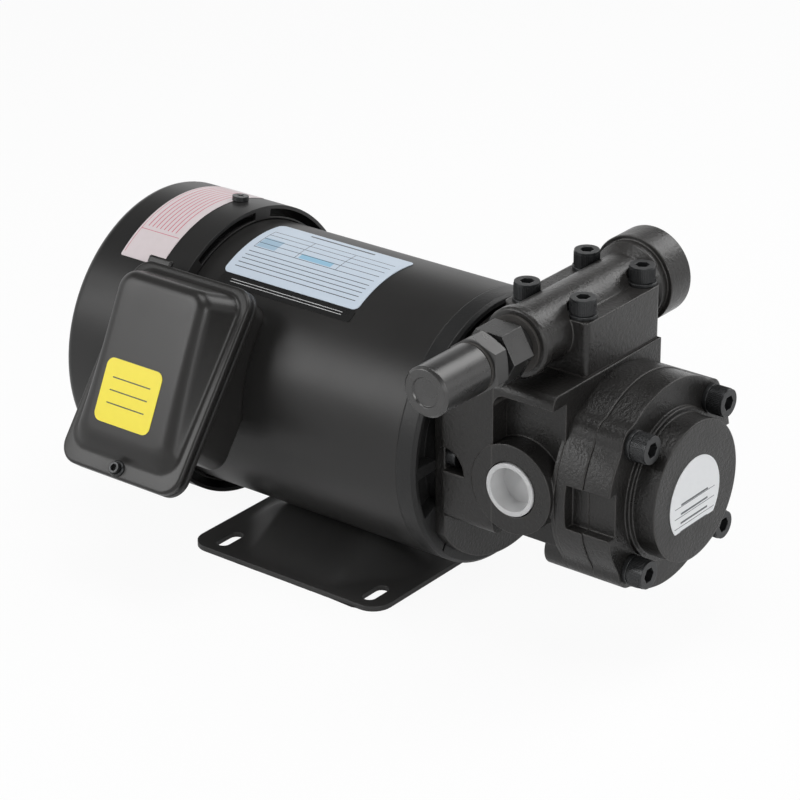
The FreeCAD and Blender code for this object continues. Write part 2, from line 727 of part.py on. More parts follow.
def rear_bracket():
    hub = d.rear_bearing_outer / 2 + d.bearing_wall
    seat = d.rear_bearing_outer / 2 + d.press_gap
    seat_end = rear_bearing_end + d.washer_thick + 0.1
    neck = d.rear_bearing_bore / 2 + 2
    spigot = tube_inside - d.press_gap
    face = rear_joint + 7
    body = turned_y("rear_bracket", [
        (hub, rear_bearing_start - 2), (hub, rear_joint + 2), (spigot - d.spigot_wall, rear_joint + 2),
        (spigot - d.spigot_wall, rear_joint - d.spigot_long), (spigot, rear_joint - d.spigot_long),
        (spigot, rear_joint), (d.frame_radius, rear_joint), (d.frame_radius, face),
        (hub + 6, face), (hub, face + 4), (neck, face + 4), (neck, seat_end), (seat, seat_end),
        (seat, rear_bearing_start - 2),
    ], turn=Rotation(Vector(0, 1, 0), d.cover_turn.value))
    body.setExpression(".Placement.Rotation.Angle", d.cover_turn.text)
    ear = new_sketch(body, "XZ", rear_joint + 5)
    top = cover_radius - d.cover_sheet - d.press_gap
    draw_box(ear, (Size(-6), d.frame_radius - 8), (Size(6), top - 0.3))
    ear_pad = pad(body, ear, d.cover_screw_at - rear_joint + 1)
    hole = new_sketch(body, "XY", top)
    draw_circle(hole, ZERO, d.cover_screw_at, 2.0 + d.press_gap)
    ear_hole = pocket(body, hole, 9.0, toward=-1)
    repeat_round(body, [ear_pad, ear_hole], "Y", FOUR)
    rods = new_sketch(body, "XZ", face + 1)
    for step in range(FOUR):
        angle = ROD_TURN + 90 * step - d.cover_turn * -1
        draw_circle(rods, rod_circle * cosine(angle), rod_circle * sine(angle), d.rod_radius + d.hole_gap)
    pocket(body, rods, toward=-1)
    return body


def tie_rods():
    body = new_body("tie_rods", shaft_axis)
    nut_at = rear_joint + 7.05
    rods = new_sketch(body, "XZ", nut_at + 5)
    draw_rod_circles(rods, d.rod_radius)
    pad(body, rods, d.frame_rear + d.frame_front + d.bracket_thick - 4 + 8, toward=-1)
    nuts = new_sketch(body, "XZ", nut_at)
    for step in range(FOUR):
        angle = math.radians(ROD_TURN + 90 * step)
        draw_hexagon(nuts, rod_circle * math.cos(angle), rod_circle * math.sin(angle), d.rod_radius * 3.2)
    pad(body, nuts, 4.0)
    return body


def stator_core():
    body = turned_y("stator_core", ring(stator_bore, tube_inside - d.press_gap, -d.core_half, d.core_half))
    slot = new_sketch(body, "XZ", d.core_half)
    draw_box(slot, (Size(-1.2), stator_bore - 1), (Size(1.2), tube_inside - d.stator_yoke))
    cut = pocket(body, slot, d.core_half * 2, toward=-1)
    repeat_round(body, [cut], "Y", 24)
    rods = new_sketch(body, "XZ", d.core_half)
    draw_rod_circles(rods, d.rod_radius + d.hole_gap)
    pocket(body, rods, d.core_half * 2, toward=-1)
    return body


def winding_head(label, side):
    near = (d.core_half + 0.05) * side
    far = (d.core_half + d.winding_long) * side
    bevel = 4 * side
    inner, outer = stator_bore + 2, tube_inside - d.winding_inset
    corners = [(inner, near), (outer, near), (outer, far - bevel), (outer - 4, far), (inner + 4, far),
               (inner, far - bevel)]
    return turned_y(label, corners)


def rotor_core():
    bore = d.shaft_radius + d.press_gap
    return turned_y("rotor_core", ring(bore, stator_bore - d.air_gap, -d.core_half, d.core_half))


def rotor_end_rings():
    body = new_body("rotor_end_rings", shaft_axis)
    sketch = new_sketch(body, "XY")
    inner, outer = stator_bore - 11, stator_bore - d.air_gap - 0.6
    for side in (1, -1):
        near, far = (d.core_half + 0.02) * side, (d.core_half + 8) * side
        draw_outline(sketch, [(inner, near), (outer, near), (outer, far), (inner + 3, far)])
    revolve(body, sketch, "V_Axis")
    return body


shaft_front = pump_face - 9.5
pump_shaft_end = casing_joint - 27
fan_end = d.fan_start + d.fan_deep + 3


def motor_shaft():
    front_seat = d.front_bearing_bore / 2
    rear_seat = d.rear_bearing_bore / 2
    shoulder = d.shaft_radius + 1.5
    body = turned_y("motor_shaft", [
        (ZERO, shaft_front), (d.shaft_nose - 1, shaft_front), (d.shaft_nose, shaft_front + 1),
        (d.shaft_nose, front_bearing_start - 1), (front_seat, front_bearing_start - 1),
        (front_seat, front_bearing_end), (shoulder, front_bearing_end), (shoulder, front_bearing_end + 4),
        (d.shaft_radius, front_bearing_end + 4), (d.shaft_radius, d.core_half + 14),
        (rear_seat + 1.5, d.core_half + 16), (rear_seat + 1.5, rear_bearing_start), (rear_seat, rear_bearing_start),
        (rear_seat, d.fan_start - 0.05), (d.fan_seat, d.fan_start - 0.05), (d.fan_seat, fan_end + 3),
        (d.fan_seat - 1, fan_end + 4), (ZERO, fan_end + 4),
    ])
    slot = new_sketch(body, "XZ", shaft_front)
    draw_box(slot, (Size(-12), -d.tang_wide / 2 - d.run_gap), (Size(12), d.tang_wide / 2 + d.run_gap))
    pocket(body, slot, d.tang_long + 0.3)
    return body


def bearing_rings(name, bore, outside, wide, ball, start):
    """Outer and inner ring of a ball bearing with a round groove in each."""
    pitch = (bore + outside) / 4
    track = ball / 2 + d.ball_gap
    inner, outer = bore / 2, outside / 2
    middle = start + wide / 2
    land = (outer - inner) / 2 * 0.36
    half = chord_height(track, land)
    turned_y(f"{name}_outer_ring", [
        (outer, start), (outer, start + wide), (pitch + land, start + wide), (pitch + land, middle + half),
        (pitch + land, middle - half, -track), (pitch + land, start),
    ])
    turned_y(f"{name}_inner_ring", [
        (inner, start), (pitch - land, start), (pitch - land, middle - half),
        (pitch - land, middle + half, -track), (pitch - land, start + wide), (inner, start + wide),
    ])


def bearing_balls(label, bore, outside, wide, ball, start, count):
    pitch = (bore + outside) / 4
    balls = []
    for step in range(count):
        angle = math.radians(360 / count * step)
        sphere = doc.addObject("Part::Sphere", f"{label}_{step + 1}")
        bind(sphere, "Radius", ball / 2)
        place(sphere, (pitch * math.cos(angle), start + wide / 2, pitch * math.sin(angle)))
        balls.append(sphere)
    group = doc.addObject("Part::Compound", label)
    group.Label = label
    group.Links = balls
    place(group, shaft_axis)
    return group


def preload_washer():
    outer = d.rear_bearing_outer / 2 - 0.05
    return turned_y("preload_washer", ring(outer - 3.5, outer, rear_bearing_end + 0.02,
                                           rear_bearing_end + d.washer_thick))


def cooling_fan():
    bore = d.fan_seat + d.press_gap
    end = d.fan_start + d.fan_deep
    body = turned_y("cooling_fan", [
        (bore, d.fan_start), (fan_radius, d.fan_start), (fan_radius, d.fan_start + 2.2),
        (d.fan_hub + 2, d.fan_start + 3), (d.fan_hub, end + 2), (bore, end + 2),
    ])
    blade = new_sketch(body, "XY", Size(-1.2))
    draw_outline(blade, [
        (d.fan_hub - 2, d.fan_start + 1), (fan_radius, d.fan_start + 1),
        (fan_radius, end - 5), (fan_radius - 8, end), (d.fan_hub - 2, end),
    ])
    wing = pad(body, blade, 2.4)
    repeat_round(body, [wing], "Y", 7)
    return body


def fan_retaining_ring():
    start = d.fan_start + d.fan_deep + 2.05
    return turned_y("fan_retaining_ring", ring(d.fan_seat + d.press_gap, d.fan_seat + 3, start, start + 0.9))


def fan_cover():
    inner = cover_radius - d.cover_sheet
    lip = d.frame_radius + 0.6
    bend = cover_radius - d.cover_bend
    body = turned_y("fan_cover", [
        (lip, d.cover_front), (cover_radius, d.cover_front), (cover_radius, d.cover_rear - d.cover_bend),
        (bend, d.cover_rear, d.cover_bend), (ZERO, d.cover_rear), (ZERO, d.cover_rear - d.cover_sheet),
        (bend, d.cover_rear - d.cover_sheet), (inner, d.cover_rear - d.cover_bend, d.cover_sheet - d.cover_bend),
        (inner, d.cover_front + d.cover_sheet), (lip, d.cover_front + d.cover_sheet),
    ], turn=Rotation(Vector(0, 1, 0), d.cover_turn.value))
    body.setExpression(".Placement.Rotation.Angle", d.cover_turn.text)
    outlet = new_sketch(body, "XZ", d.cover_front)
    draw_ring_slot(outlet, lip + 0.8, inner - 0.2, 49.5, 85.5)
    vent = pocket(body, outlet, d.cover_sheet)
    repeat_round(body, [vent], "Y", 8)
    grille = new_sketch(body, "XZ", d.cover_rear)
    for step in range(5):
        start = 12 + 10 * step
        trim = 260.0 / (start + 3)
        draw_ring_slot(grille, Size(start), Size(start + 5), 60 + trim / 2, 120 - trim / 2)
    cut = pocket(body, grille, d.cover_sheet, toward=-1)
    repeat_round(body, [cut], "Y", 6)
    hole = new_sketch(body, "XY", cover_radius)
    draw_circle(hole, ZERO, d.cover_screw_at, 2.3)
    drill = pocket(body, hole, d.cover_bend, toward=-1)
    repeat_round(body, [drill], "Y", FOUR)
    return body


def fan_cover_screws():
    body = new_body("fan_cover_screws", shaft_axis, Rotation(Vector(0, 1, 0), d.cover_turn.value))
    body.setExpression(".Placement.Rotation.Angle", d.cover_turn.text)
    seat = cover_radius + 0.05
    head = new_sketch(body, "XY", seat)
    draw_circle(head, ZERO, d.cover_screw_at, 4.0)
    head_pad = pad(body, head, 2.4)
    shank = new_sketch(body, "XY", seat)
    draw_circle(shank, ZERO, d.cover_screw_at, 2.0)
    shank_pad = pad(body, shank, 9.0, toward=-1)
    cross = new_sketch(body, "XY", seat + 2.4)
    y = d.cover_screw_at
    a, b = 0.45, 2.2
    draw_outline(cross, [
        (Size(-a), y - b), (Size(a), y - b), (Size(a), y - a), (Size(b), y - a), (Size(b), y + a), (Size(a), y + a),
        (Size(a), y + b), (Size(-a), y + b), (Size(-a), y + a), (Size(-b), y + a), (Size(-b), y - a), (Size(-a), y - a),
    ])
    recess = pocket(body, cross, 1.3, toward=-1)
    repeat_round(body, [head_pad, shank_pad, recess], "Y", FOUR)
    return body


# The terminal box has its own frame: x towards the pump, y up the slope, z away from the shaft axis
box_turn = Rotation(Vector(0, 1, 0), -(90 - d.box_tilt.value)) * Rotation(Vector(0, 0, 1), -90)
box_low_x, box_high_x = -(d.box_left + d.box_wide), -d.box_left
box_high_y = d.box_up
box_low_y = d.box_up - d.box_long
gasket_back = box_face - d.gasket_thick
box_flange_back = gasket_back - d.box_wall
tub_low = (box_low_x + d.box_lip, -d.box_drop)
tub_high = (box_high_x - d.box_lip, box_high_y - d.box_lip)
cover_clear = cover_radius + 3


def box_plate(label, low, high):
    """Flat rounded plate over the whole flange between two heights above the shaft axis."""
    body = new_body(label, shaft_axis, box_turn)
    sketch = new_sketch(body, "XY", low)
    draw_round_box(sketch, (box_low_x, box_low_y), (box_high_x, box_high_y), d.box_corner)
    pad(body, sketch, high - low)
    return body


def clear_tube(body, radius, low, high):
    """Cuts a cylinder about the shaft axis out of a piece of the terminal box."""
    sketch = new_sketch(body, "YZ", low)
    draw_circle(sketch, ZERO, ZERO, radius)
    return pocket(body, sketch, high - low)


def terminal_box_base():
    outer = box_plate("box_base_outer", box_flange_back, gasket_back)
    tub = new_sketch(outer, "XY", box_flange_back)
    draw_round_box(tub, tub_low, tub_high, Size(8))
    pad(outer, tub, d.box_deep, toward=-1)
    clear_tube(outer, d.frame_radius + d.run_gap, box_low_x - 1, box_high_x + 1)
    clear_tube(outer, cover_clear, box_low_x - 1, -d.cover_front + 1.5)
    inner = new_body("box_base_inner", shaft_axis, box_turn)
    hollow = new_sketch(inner, "XY", gasket_back + 1)
    wall = d.box_wall
    draw_round_box(hollow, (tub_low[0] + wall, tub_low[1] + wall), (tub_high[0] - wall, tub_high[1] - wall), Size(6))
    pad(inner, hollow, d.box_deep + 1, toward=-1)
    clear_tube(inner, d.frame_radius + wall, box_low_x - 1, box_high_x + 1)
    clear_tube(inner, cover_clear + wall, box_low_x - 1, -d.cover_front + 1.5 + wall)
    lead = doc.addObject("Part::Cylinder", "box_lead_hole")
    lead.Radius = 9
    lead.Height = 20
    turn = Rotation(Vector(0, 0, 1), Vector(-1, 0, 0))
    place(lead, (-d.frame_radius + 12, d.box_left + d.box_wide / 2, d.shaft_height + d.frame_radius * sine(23)), turn)
    entry = doc.addObject("Part::Cylinder", "box_cable_hole")
    bind(entry, "Radius", d.cable_entry)
    bind(entry, "Height", d.cable_long + 2)
    place(entry, (cable_x, cable_y - 1, cable_z), Rotation(Vector(1, 0, 0), -90))
    collar = doc.addObject("Part::Cylinder", "box_cable_boss")
    bind(collar, "Radius", d.cable_entry + d.cable_wall)
    bind(collar, "Height", d.cable_long)
    place(collar, (cable_x, cable_y, cable_z), Rotation(Vector(1, 0, 0), -90))
    boss = new_body("box_screw_boss", shaft_axis, box_turn)
    post = new_sketch(boss, "XY", box_flange_back - 8)
    draw_circle(post, box_screw[0], box_screw[1], 3.6)
    pad(boss, post, gasket_back - box_flange_back + 8)
    drill = new_body("box_screw_drill", shaft_axis, box_turn)
    bit = new_sketch(drill, "XY", box_flange_back - 6)
    draw_circle(bit, box_screw[0], box_screw[1], 1.5 + d.press_gap)
    pad(drill, bit, gasket_back - box_flange_back + 8)
    shell = doc.addObject("Part::Cut", "box_shell")
    shell.Base = outer
    shell.Tool = inner
    holes = doc.addObject("Part::MultiFuse", "box_holes")
    holes.Shapes = [lead, entry, drill]
    solid = doc.addObject("Part::MultiFuse", "box_shell_bosses")
    solid.Shapes = [shell, boss, collar]
    base = doc.addObject("Part::Cut", "terminal_box_base")
    base.Label = "terminal_box_base"
    base.Base = solid
    base.Tool = holes
    return base


box_screw = ((box_low_x + box_high_x) / 2, box_low_y + 4.4)
cable_reach = gasket_back - 12.5
cable_drop = Size(55)
cable_y = d.box_left + d.box_wide - d.box_lip + 2 - d.cable_long
cable_x = -(cable_reach * cosine(d.box_tilt) + cable_drop * sine(d.box_tilt))
cable_z = d.shaft_height + cable_reach * sine(d.box_tilt) - cable_drop * cosine(d.box_tilt)


def terminal_box_gasket():
    body = box_plate("terminal_box_gasket", gasket_back + 0.02, box_face - 0.02)
    hole = new_sketch(body, "XY", box_face)
    wall = d.box_wall
    draw_round_box(hole, (tub_low[0] + wall, tub_low[1] + wall), (tub_high[0] - wall, tub_high[1] - wall), Size(6))
    draw_circle(hole, box_screw[0], box_screw[1], 1.5 + d.hole_gap)
    pocket(body, hole, 3.0, toward=-1)
    return body


def dome_frame(lift, inset):
    """Corners of the dome's outline at one inset from the rim."""
    low = (box_low_x + d.dome_inset + inset, box_low_y + d.dome_inset + 4 + inset)
    high = (box_high_x - d.dome_inset - inset, box_high_y - d.dome_inset - inset)
    return low, high, lift


def dome_loft(body, kind, base_at, top_inset, base_inset, shrink):
    """Loft from the rim to the leaning face of the dome."""
    low, high, _ = dome_frame(0, base_inset)
    foot = new_sketch(body, "XY", base_at)
    draw_round_box(foot, low, high, d.dome_round)
    low, high, _ = dome_frame(0, top_inset)
    lean = math.degrees(math.atan2(d.dome_top.value - d.dome_low.value, number(high[1] - low[1])))
    face = body.newObject("Sketcher::SketchObject", f"{body.Name}_face")
    face.AttachmentSupport = [(plane_of(body, "XY"), "")]
    face.MapMode = "FlatFace"
    height = box_face + d.cover_rim + d.dome_low - shrink
    face.AttachmentOffset = Placement(Vector(0, low[1].value, height.value), Rotation(Vector(1, 0, 0), lean))
    face.setExpression("AttachmentOffset.Base.z", height.text)
    face.setExpression("AttachmentOffset.Base.y", low[1].text)
    slope = root((high[1] - low[1]) * (high[1] - low[1])
                 + (d.dome_top - d.dome_low) * (d.dome_top - d.dome_low))
    draw_round_box(face, (low[0], Size(0)), (high[0], slope), d.dome_round)
    loft = body.newObject(f"PartDesign::{kind}", f"{body.Name}_dome")
    loft.Profile = foot
    loft.Sections = [face]
    loft.Ruled = True
    return loft


def terminal_box_cover():
    back = box_face
    body = box_plate("terminal_box_cover", back, back + d.cover_rim)
    dome_loft(body, "AdditiveLoft", back + d.cover_rim - 0.5, d.dome_draft + 1, Size(0), ZERO)
    screw = new_sketch(body, "XY", back + d.cover_rim)
    draw_circle(screw, box_screw[0], box_screw[1], 1.5 + d.hole_gap)
    pocket(body, screw, toward=-1)
    wall = d.box_wall
    well = new_sketch(body, "XY", back)
    low, high, _ = dome_frame(0, wall)
    draw_round_box(well, low, high, d.dome_round - 2)
    pocket(body, well, d.cover_rim - 0.5)
    dome_loft(body, "SubtractiveLoft", back + d.cover_rim - 0.5, d.dome_draft + 1 + wall, wall, wall)
    hook = new_sketch(body, "XY", back)
    middle = box_low_x + 12
    draw_box(hook, (middle - 7, box_high_y - 1), (middle + 7, box_high_y + 3))
    pad(body, hook, 2.5)
    return body


def terminal_cover_screw():
    body = new_body("terminal_cover_screw", shaft_axis, box_turn)
    seat = box_face + d.cover_rim + 0.05
    for radius, length, toward in ((2.7, 3.0, 1), (1.5, 9.5, -1)):
        sketch = new_sketch(body, "XY", seat)
        draw_circle(sketch, box_screw[0], box_screw[1], radius)
        pad(body, sketch, length, toward)
    key = new_sketch(body, "XY", seat + 3)
    draw_hexagon(key, box_screw[0], box_screw[1], Size(3))
    pocket(body, key, 2.0, toward=-1)
    return body


block_x = -(d.box_left + 27.5)
block_floor = d.frame_radius - 1
BLOCK_HALF = (19, 11)
STUDS = [(x, y) for x in (-12.5, 0, 12.5) for y in (-5, 5)]


def terminal_block():
    body = new_body("terminal_block", shaft_axis, box_turn)
    board = new_sketch(body, "XY", block_floor)
    x, y = block_x, Size(-40)
    low, high = (x - BLOCK_HALF[0], y - BLOCK_HALF[1]), (x + BLOCK_HALF[0], y + BLOCK_HALF[1])
    draw_round_box(board, low, high, Size(3))
    pad(body, board, 6.0)
    for side in (-1, 1):
        foot = new_sketch(body, "XY", block_floor)
        draw_circle(foot, x + side * 15, y - 7, 3)
        pad(body, foot, block_floor - box_flange_back + d.box_deep - d.box_wall, toward=-1)
    holes = new_sketch(body, "XY", block_floor + 6)
    for stud_x, stud_y in STUDS:
        draw_circle(holes, x + stud_x, y + stud_y, 2 + d.press_gap)
    pocket(body, holes, 4.0, toward=-1)
    return body


def terminal_studs():
    body = new_body("terminal_studs", shaft_axis, box_turn)
    x, y = block_x, Size(-40)
    pins = new_sketch(body, "XY", block_floor + 2.1)
    nuts = new_sketch(body, "XY", block_floor + 6.02)
    for stud_x, stud_y in STUDS:
        draw_circle(pins, x + stud_x, y + stud_y, 2)
        draw_hexagon(nuts, x + stud_x, y + stud_y, Size(7))
    pad(body, pins, 12.0)
    pad(body, nuts, 3.2)
    return body


# Pump: places across the shaft
valve_y = casing_joint + d.valve_back
deck_z = d.shaft_height + d.deck_up
valve_z = deck_z + d.valve_up
valve_at = (ZERO, valve_y, valve_z)
port_y = casing_joint + d.port_back
port_at = (ZERO, port_y, d.shaft_height + d.port_up)
lug = d.lug_circle * math.sqrt(0.5)
lugs = [(lug, lug), (-lug, lug), (-lug, -lug), (lug, -lug)]
pump_flange_front = pump_face - d.flange_thick
rim_back = casing_joint + d.rim_thick
recess_end = casing_joint + d.relief_start
seal_front = casing_joint + 43
chamber_front = casing_joint - d.rotor_wide - 0.1
bush_end = chamber_front - 15


def draw_drum(sketch, radius):
    """Round outline with four lugs for the casing screws, joined by smooth hollows."""
    reach = radius + d.lug_blend
    grip = d.lug_radius + d.lug_blend
    along = (reach * reach - grip * grip + d.lug_circle * d.lug_circle) / (d.lug_circle * 2)
    across = root(reach * reach - along * along)
    drum, tip = radius / reach, d.lug_radius / grip
    meet = (along * drum, across * drum)
    leave = (d.lug_circle + (along - d.lug_circle) * tip, across * tip)
    corners = []
    for step in range(FOUR):
        angle = math.radians(45 + 90 * step)
        up, side = math.cos(angle), math.sin(angle)
        for (far, wide), arc in (((meet[0], -meet[1]), radius), ((leave[0], -leave[1]), -d.lug_blend),
                                 (leave, d.lug_radius), (meet, -d.lug_blend)):
            corners.append((far * up - wide * side, far * side + wide * up, arc))
    draw_outline(sketch, corners)


def pump_casting():
    """Whole casting: motor flange, block with deck, round housing, rim with lugs, suction boss."""
    body = new_body("pump_casting", shaft_axis)
    side_height = chord_height(flange_radius, d.flange_side)
    flange = new_sketch(body, "XZ", pump_face)
    draw_outline(flange, [
        (d.flange_side, -side_height), (d.flange_side, side_height), (-d.flange_side, side_height, flange_radius),
        (-d.flange_side, -side_height), (d.flange_side, -side_height, flange_radius),
    ][1:])
    pad(body, flange, d.flange_thick, toward=-1)
    pilot = new_sketch(body, "XZ", pump_face)
    draw_circle(pilot, ZERO, ZERO, d.pilot_radius - d.press_gap)
    pad(body, pilot, d.pilot_deep - 0.1)
    block = new_sketch(body, "XZ", pump_flange_front)
    left, right, low, high = -d.block_side, d.body_right, -d.body_drop, d.deck_up
    draw_outline(block, [
        (right, low), (right, high), (left + 5, high), (left, high - 5, Size(5)), (left, low + 6),
        (left + 6, low, Size(6)),
    ])
    pad(body, block, d.body_long - d.flange_thick, toward=-1)
    relief = new_sketch(body, "YZ", left)
    top = high - d.deck_thick
    draw_outline(relief, [
        (casing_joint - 1, low - 1), (recess_end, low - 1), (recess_end, top - d.relief_round),
        (recess_end - d.relief_round, top, d.relief_round), (casing_joint - 1, top),
    ])
    pocket(body, relief, d.relief_deep)
    round_part = new_sketch(body, "XZ", pump_flange_front)
    draw_circle(round_part, ZERO, ZERO, d.housing_radius)
    pad(body, round_part, pump_flange_front - casing_joint, toward=-1)
    rim = new_sketch(body, "XZ", casing_joint)
    draw_drum(rim, d.casing_radius)
    pad(body, rim, d.rim_thick)
    spread = d.casing_radius - d.housing_radius
    flare = new_sketch(body, "XY")
    draw_outline(flare, [
        (ZERO, casing_joint), (d.casing_radius, casing_joint), (d.casing_radius, rim_back),
        (d.casing_radius - spread * 0.71, rim_back + spread * 0.29), (d.housing_radius, rim_back + spread),
        (ZERO, rim_back + spread),
    ])
    revolve(body, flare, "V_Axis")
    boss = new_sketch(body, "XZ", casing_joint)
    for x, z in lugs:
        draw_circle(boss, x, z, d.lug_radius)
    pad(body, boss, d.lug_boss)
    port = new_sketch(body, "YZ", -d.body_side)
    draw_circle(port, port_y, d.port_up, d.port_radius)
    pad(body, port, d.body_side - d.block_side + d.relief_deep + 4)
    bore_profile = new_sketch(body, "XY")
    bush = d.bush_radius + d.press_gap
    seal = d.seal_radius + d.press_gap
    seal_back = seal_front + d.seal_wide + 0.5
    draw_outline(bore_profile, [
        (ZERO, casing_joint - 1), (bush, casing_joint - 1), (bush, seal_front - 1), (seal - 4, seal_front - 1),
        (seal - 4, seal_front), (seal, seal_front), (seal, seal_back), (d.coupling_radius, seal_back),
        (d.coupling_radius, pump_face + d.pilot_deep), (ZERO, pump_face + d.pilot_deep),
    ])
    groove(body, bore_profile, "V_Axis")
    threads = new_sketch(body, "XZ", casing_joint)
    for x, z in lugs:
        draw_circle(threads, x, z, d.casing_screw + d.press_gap)
    pocket(body, threads, d.casing_grip + 1.5)
    kidneys = new_sketch(body, "XZ", casing_joint)
    for middle in (0, 180):
        draw_ring_slot(kidneys, d.lobe_circle - 7.5, d.lobe_circle - 1, middle - 50, middle + 50)
    pocket(body, kidneys, 26.0)
    suction = new_sketch(body, "YZ", -d.body_side)
    draw_circle(suction, port_y, d.port_up, d.port_thread)
    pocket(body, suction, d.port_deep)
    passage = new_sketch(body, "YZ", -d.body_side)
    draw_circle(passage, port_y, d.port_up, d.suction_bore)
    pocket(body, passage, d.body_side - 13)
    for x, radius in ((-d.drill_at, d.drill_radius), (d.drill_at + 2, d.feed_radius)):
        drill = new_sketch(body, "XY", high)
        draw_circle(drill, x, valve_y, radius)
        pocket(body, drill, d.deck_up - 9, toward=-1)
    taps = new_sketch(body, "XY", high)
    for x, y in valve_screw_places():
        draw_circle(taps, x, y, d.valve_screw + d.press_gap)
    pocket(body, taps, 14.0, toward=-1)
    for side in (-1, 1):
        scallop = new_sketch(body, "YZ", d.body_side * side)
        draw_outline(scallop, [
            (pump_flange_front, ZERO), (pump_flange_front, d.scallop), (pump_flange_front - d.scallop, ZERO, d.scallop),
        ])
        pocket(body, scallop, d.body_side - d.mount_x + d.mount_head + 1, toward=-side)
    screws = new_sketch(body, "XZ", pump_flange_front)
    for side in (1, -1):
        draw_circle(screws, d.mount_x * side, d.mount_up, d.mount_screw + d.hole_gap)
    pocket(body, screws, d.flange_thick + 1)
    return body


def casting_halves(casting):
    """The casting as two solids that meet face to face at the motor end of its recess."""
    reach = d.frame_radius * 2
    for label, low, high in (("pump_body", casing_joint, recess_end), ("pump_bracket", recess_end, front_joint)):
        room = doc.addObject("Part::Box", f"{label}_room")
        bind(room, "Length", reach * 2)
        bind(room, "Width", high - low)
        bind(room, "Height", reach * 2)
        place(room, (-reach, low, d.shaft_height - reach))
        half = doc.addObject("Part::Common", label)
        half.Label = label
        half.Base = casting
        half.Tool = room


def valve_screw_places():
    places = []
    for x in (-1, 1):
        for y in (-1, 1):
            places.append((d.valve_screw_centre + d.valve_pitch_x / 2 * x, valve_y + d.valve_pitch_y / 2 * y))
    return places


def bush(label, low, high):
    return turned_y(label, ring(d.pump_shaft_radius + d.run_gap, d.bush_radius, low, high))


def shaft_seal():
    inner = d.pump_shaft_radius + d.run_gap
    low = seal_front + 0.02
    high = low + d.seal_wide
    return turned_y("shaft_seal", [
        (inner, low + 2), (inner + 1.5, low), (d.seal_radius, low), (d.seal_radius, high), (inner + 2, high),
        (inner + 2, low + 4),
    ])


def pump_shaft():
    tail = shaft_front + d.tang_long
    body = turned_y("pump_shaft", [
        (ZERO, pump_shaft_end), (d.pump_shaft_radius - 1, pump_shaft_end), (d.pump_shaft_radius, pump_shaft_end + 1),
        (d.pump_shaft_radius, shaft_front - 0.1), (ZERO, shaft_front - 0.1),
    ])
    tang = new_sketch(body, "XZ", shaft_front - 0.5)
    half = d.tang_wide / 2
    draw_box(tang, (-d.pump_shaft_radius * 0.9, -half), (d.pump_shaft_radius * 0.9, half))
    pad(body, tang, tail - shaft_front)
    seat = new_sketch(body, "XY", d.pump_shaft_radius - d.key_wide / 2)
    key_front, key_back = key_places()
    draw_box(seat, (-d.key_wide / 2, key_front - d.press_gap), (d.key_wide / 2, key_back + d.press_gap))
    pocket(body, seat, d.key_wide)
    return body


def key_places():
    middle = casing_joint - d.rotor_wide / 2
    return middle - d.key_long / 2, middle + d.key_long / 2


def drive_key():
    body = new_body("drive_key", shaft_axis)
    key_front, key_back = key_places()
    half = d.key_wide / 2 - d.press_gap
    sketch = new_sketch(body, "XY", d.pump_shaft_radius - d.key_wide / 2 + d.press_gap)
    draw_box(sketch, (-half, key_front), (half, key_back))
    pad(body, sketch, d.key_wide - d.press_gap)
    return body


LOBES = 7
PROFILE_POINTS = 96


def inner_rotor():
    """Six teeth: the path of a lobe's centre, moved inwards by the lobe's radius."""
    circle, offset = d.lobe_circle.value, d.rotor_offset.value
    inset = d.lobe_radius.value + d.rotor_gap.value
    points = []
    for step in range(PROFILE_POINTS):
        turn = 2 * math.pi * step / PROFILE_POINTS
        up = circle * math.cos(turn) + offset * math.cos(LOBES * turn)
        side = circle * math.sin(turn) + offset * math.sin(LOBES * turn)
        up_rate = -circle * math.sin(turn) - LOBES * offset * math.sin(LOBES * turn)
        side_rate = circle * math.cos(turn) + LOBES * offset * math.cos(LOBES * turn)
        speed = math.hypot(up_rate, side_rate)
        points.append(Vector(side + inset * up_rate / speed, 0, up - inset * side_rate / speed))
    curve = Part.BSplineCurve()
    curve.interpolate(points, PeriodicFlag=True)
    wide = d.rotor_wide.value
    solid = Part.Face(Part.Wire(curve.toShape())).extrude(Vector(0, -wide, 0))
    bore = Part.makeCylinder(d.pump_shaft_radius.value + d.press_gap.value, wide, Vector(0, 0, 0), Vector(0, -1, 0))
    half = d.key_wide.value / 2 + d.press_gap.value
    top = d.pump_shaft_radius.value + d.key_wide.value / 2 + 0.2
    keyway = Part.makeBox(2 * half, wide, top, Vector(-half, -wide, 0))
    rotor = doc.addObject("Part::Feature", "inner_rotor")
    rotor.Label = "inner_rotor"
    rotor.Shape = solid.cut(bore).cut(keyway)
    place(rotor, (ZERO, casing_joint - 0.05, d.shaft_height))
    return rotor


def outer_rotor():
    """Ring with seven round lobes, about its own axis above the shaft's."""
    reach = d.lobe_circle + d.rotor_offset - d.lobe_radius + d.rotor_offset + 0.5
    body = new_body("outer_rotor", (ZERO, ZERO, d.shaft_height + d.rotor_offset))
    rim = new_sketch(body, "XZ", casing_joint - 0.05)
    draw_circle(rim, ZERO, ZERO, d.rotor_outer)
    draw_circle(rim, ZERO, ZERO, reach)
    pad(body, rim, d.rotor_wide, toward=-1)
    lobe = new_sketch(body, "XZ", casing_joint - 0.05)
    draw_circle(lobe, ZERO, d.lobe_circle, d.lobe_radius)
    lobe_pad = pad(body, lobe, d.rotor_wide, toward=-1)
    repeat_round(body, [lobe_pad], "Y", LOBES)
    return body


def casing_holes(body, start):
    holes = new_sketch(body, "XZ", start)
    for x, z in lugs:
        draw_circle(holes, x, z, d.casing_screw + d.hole_gap)
    pocket(body, holes, toward=-1)


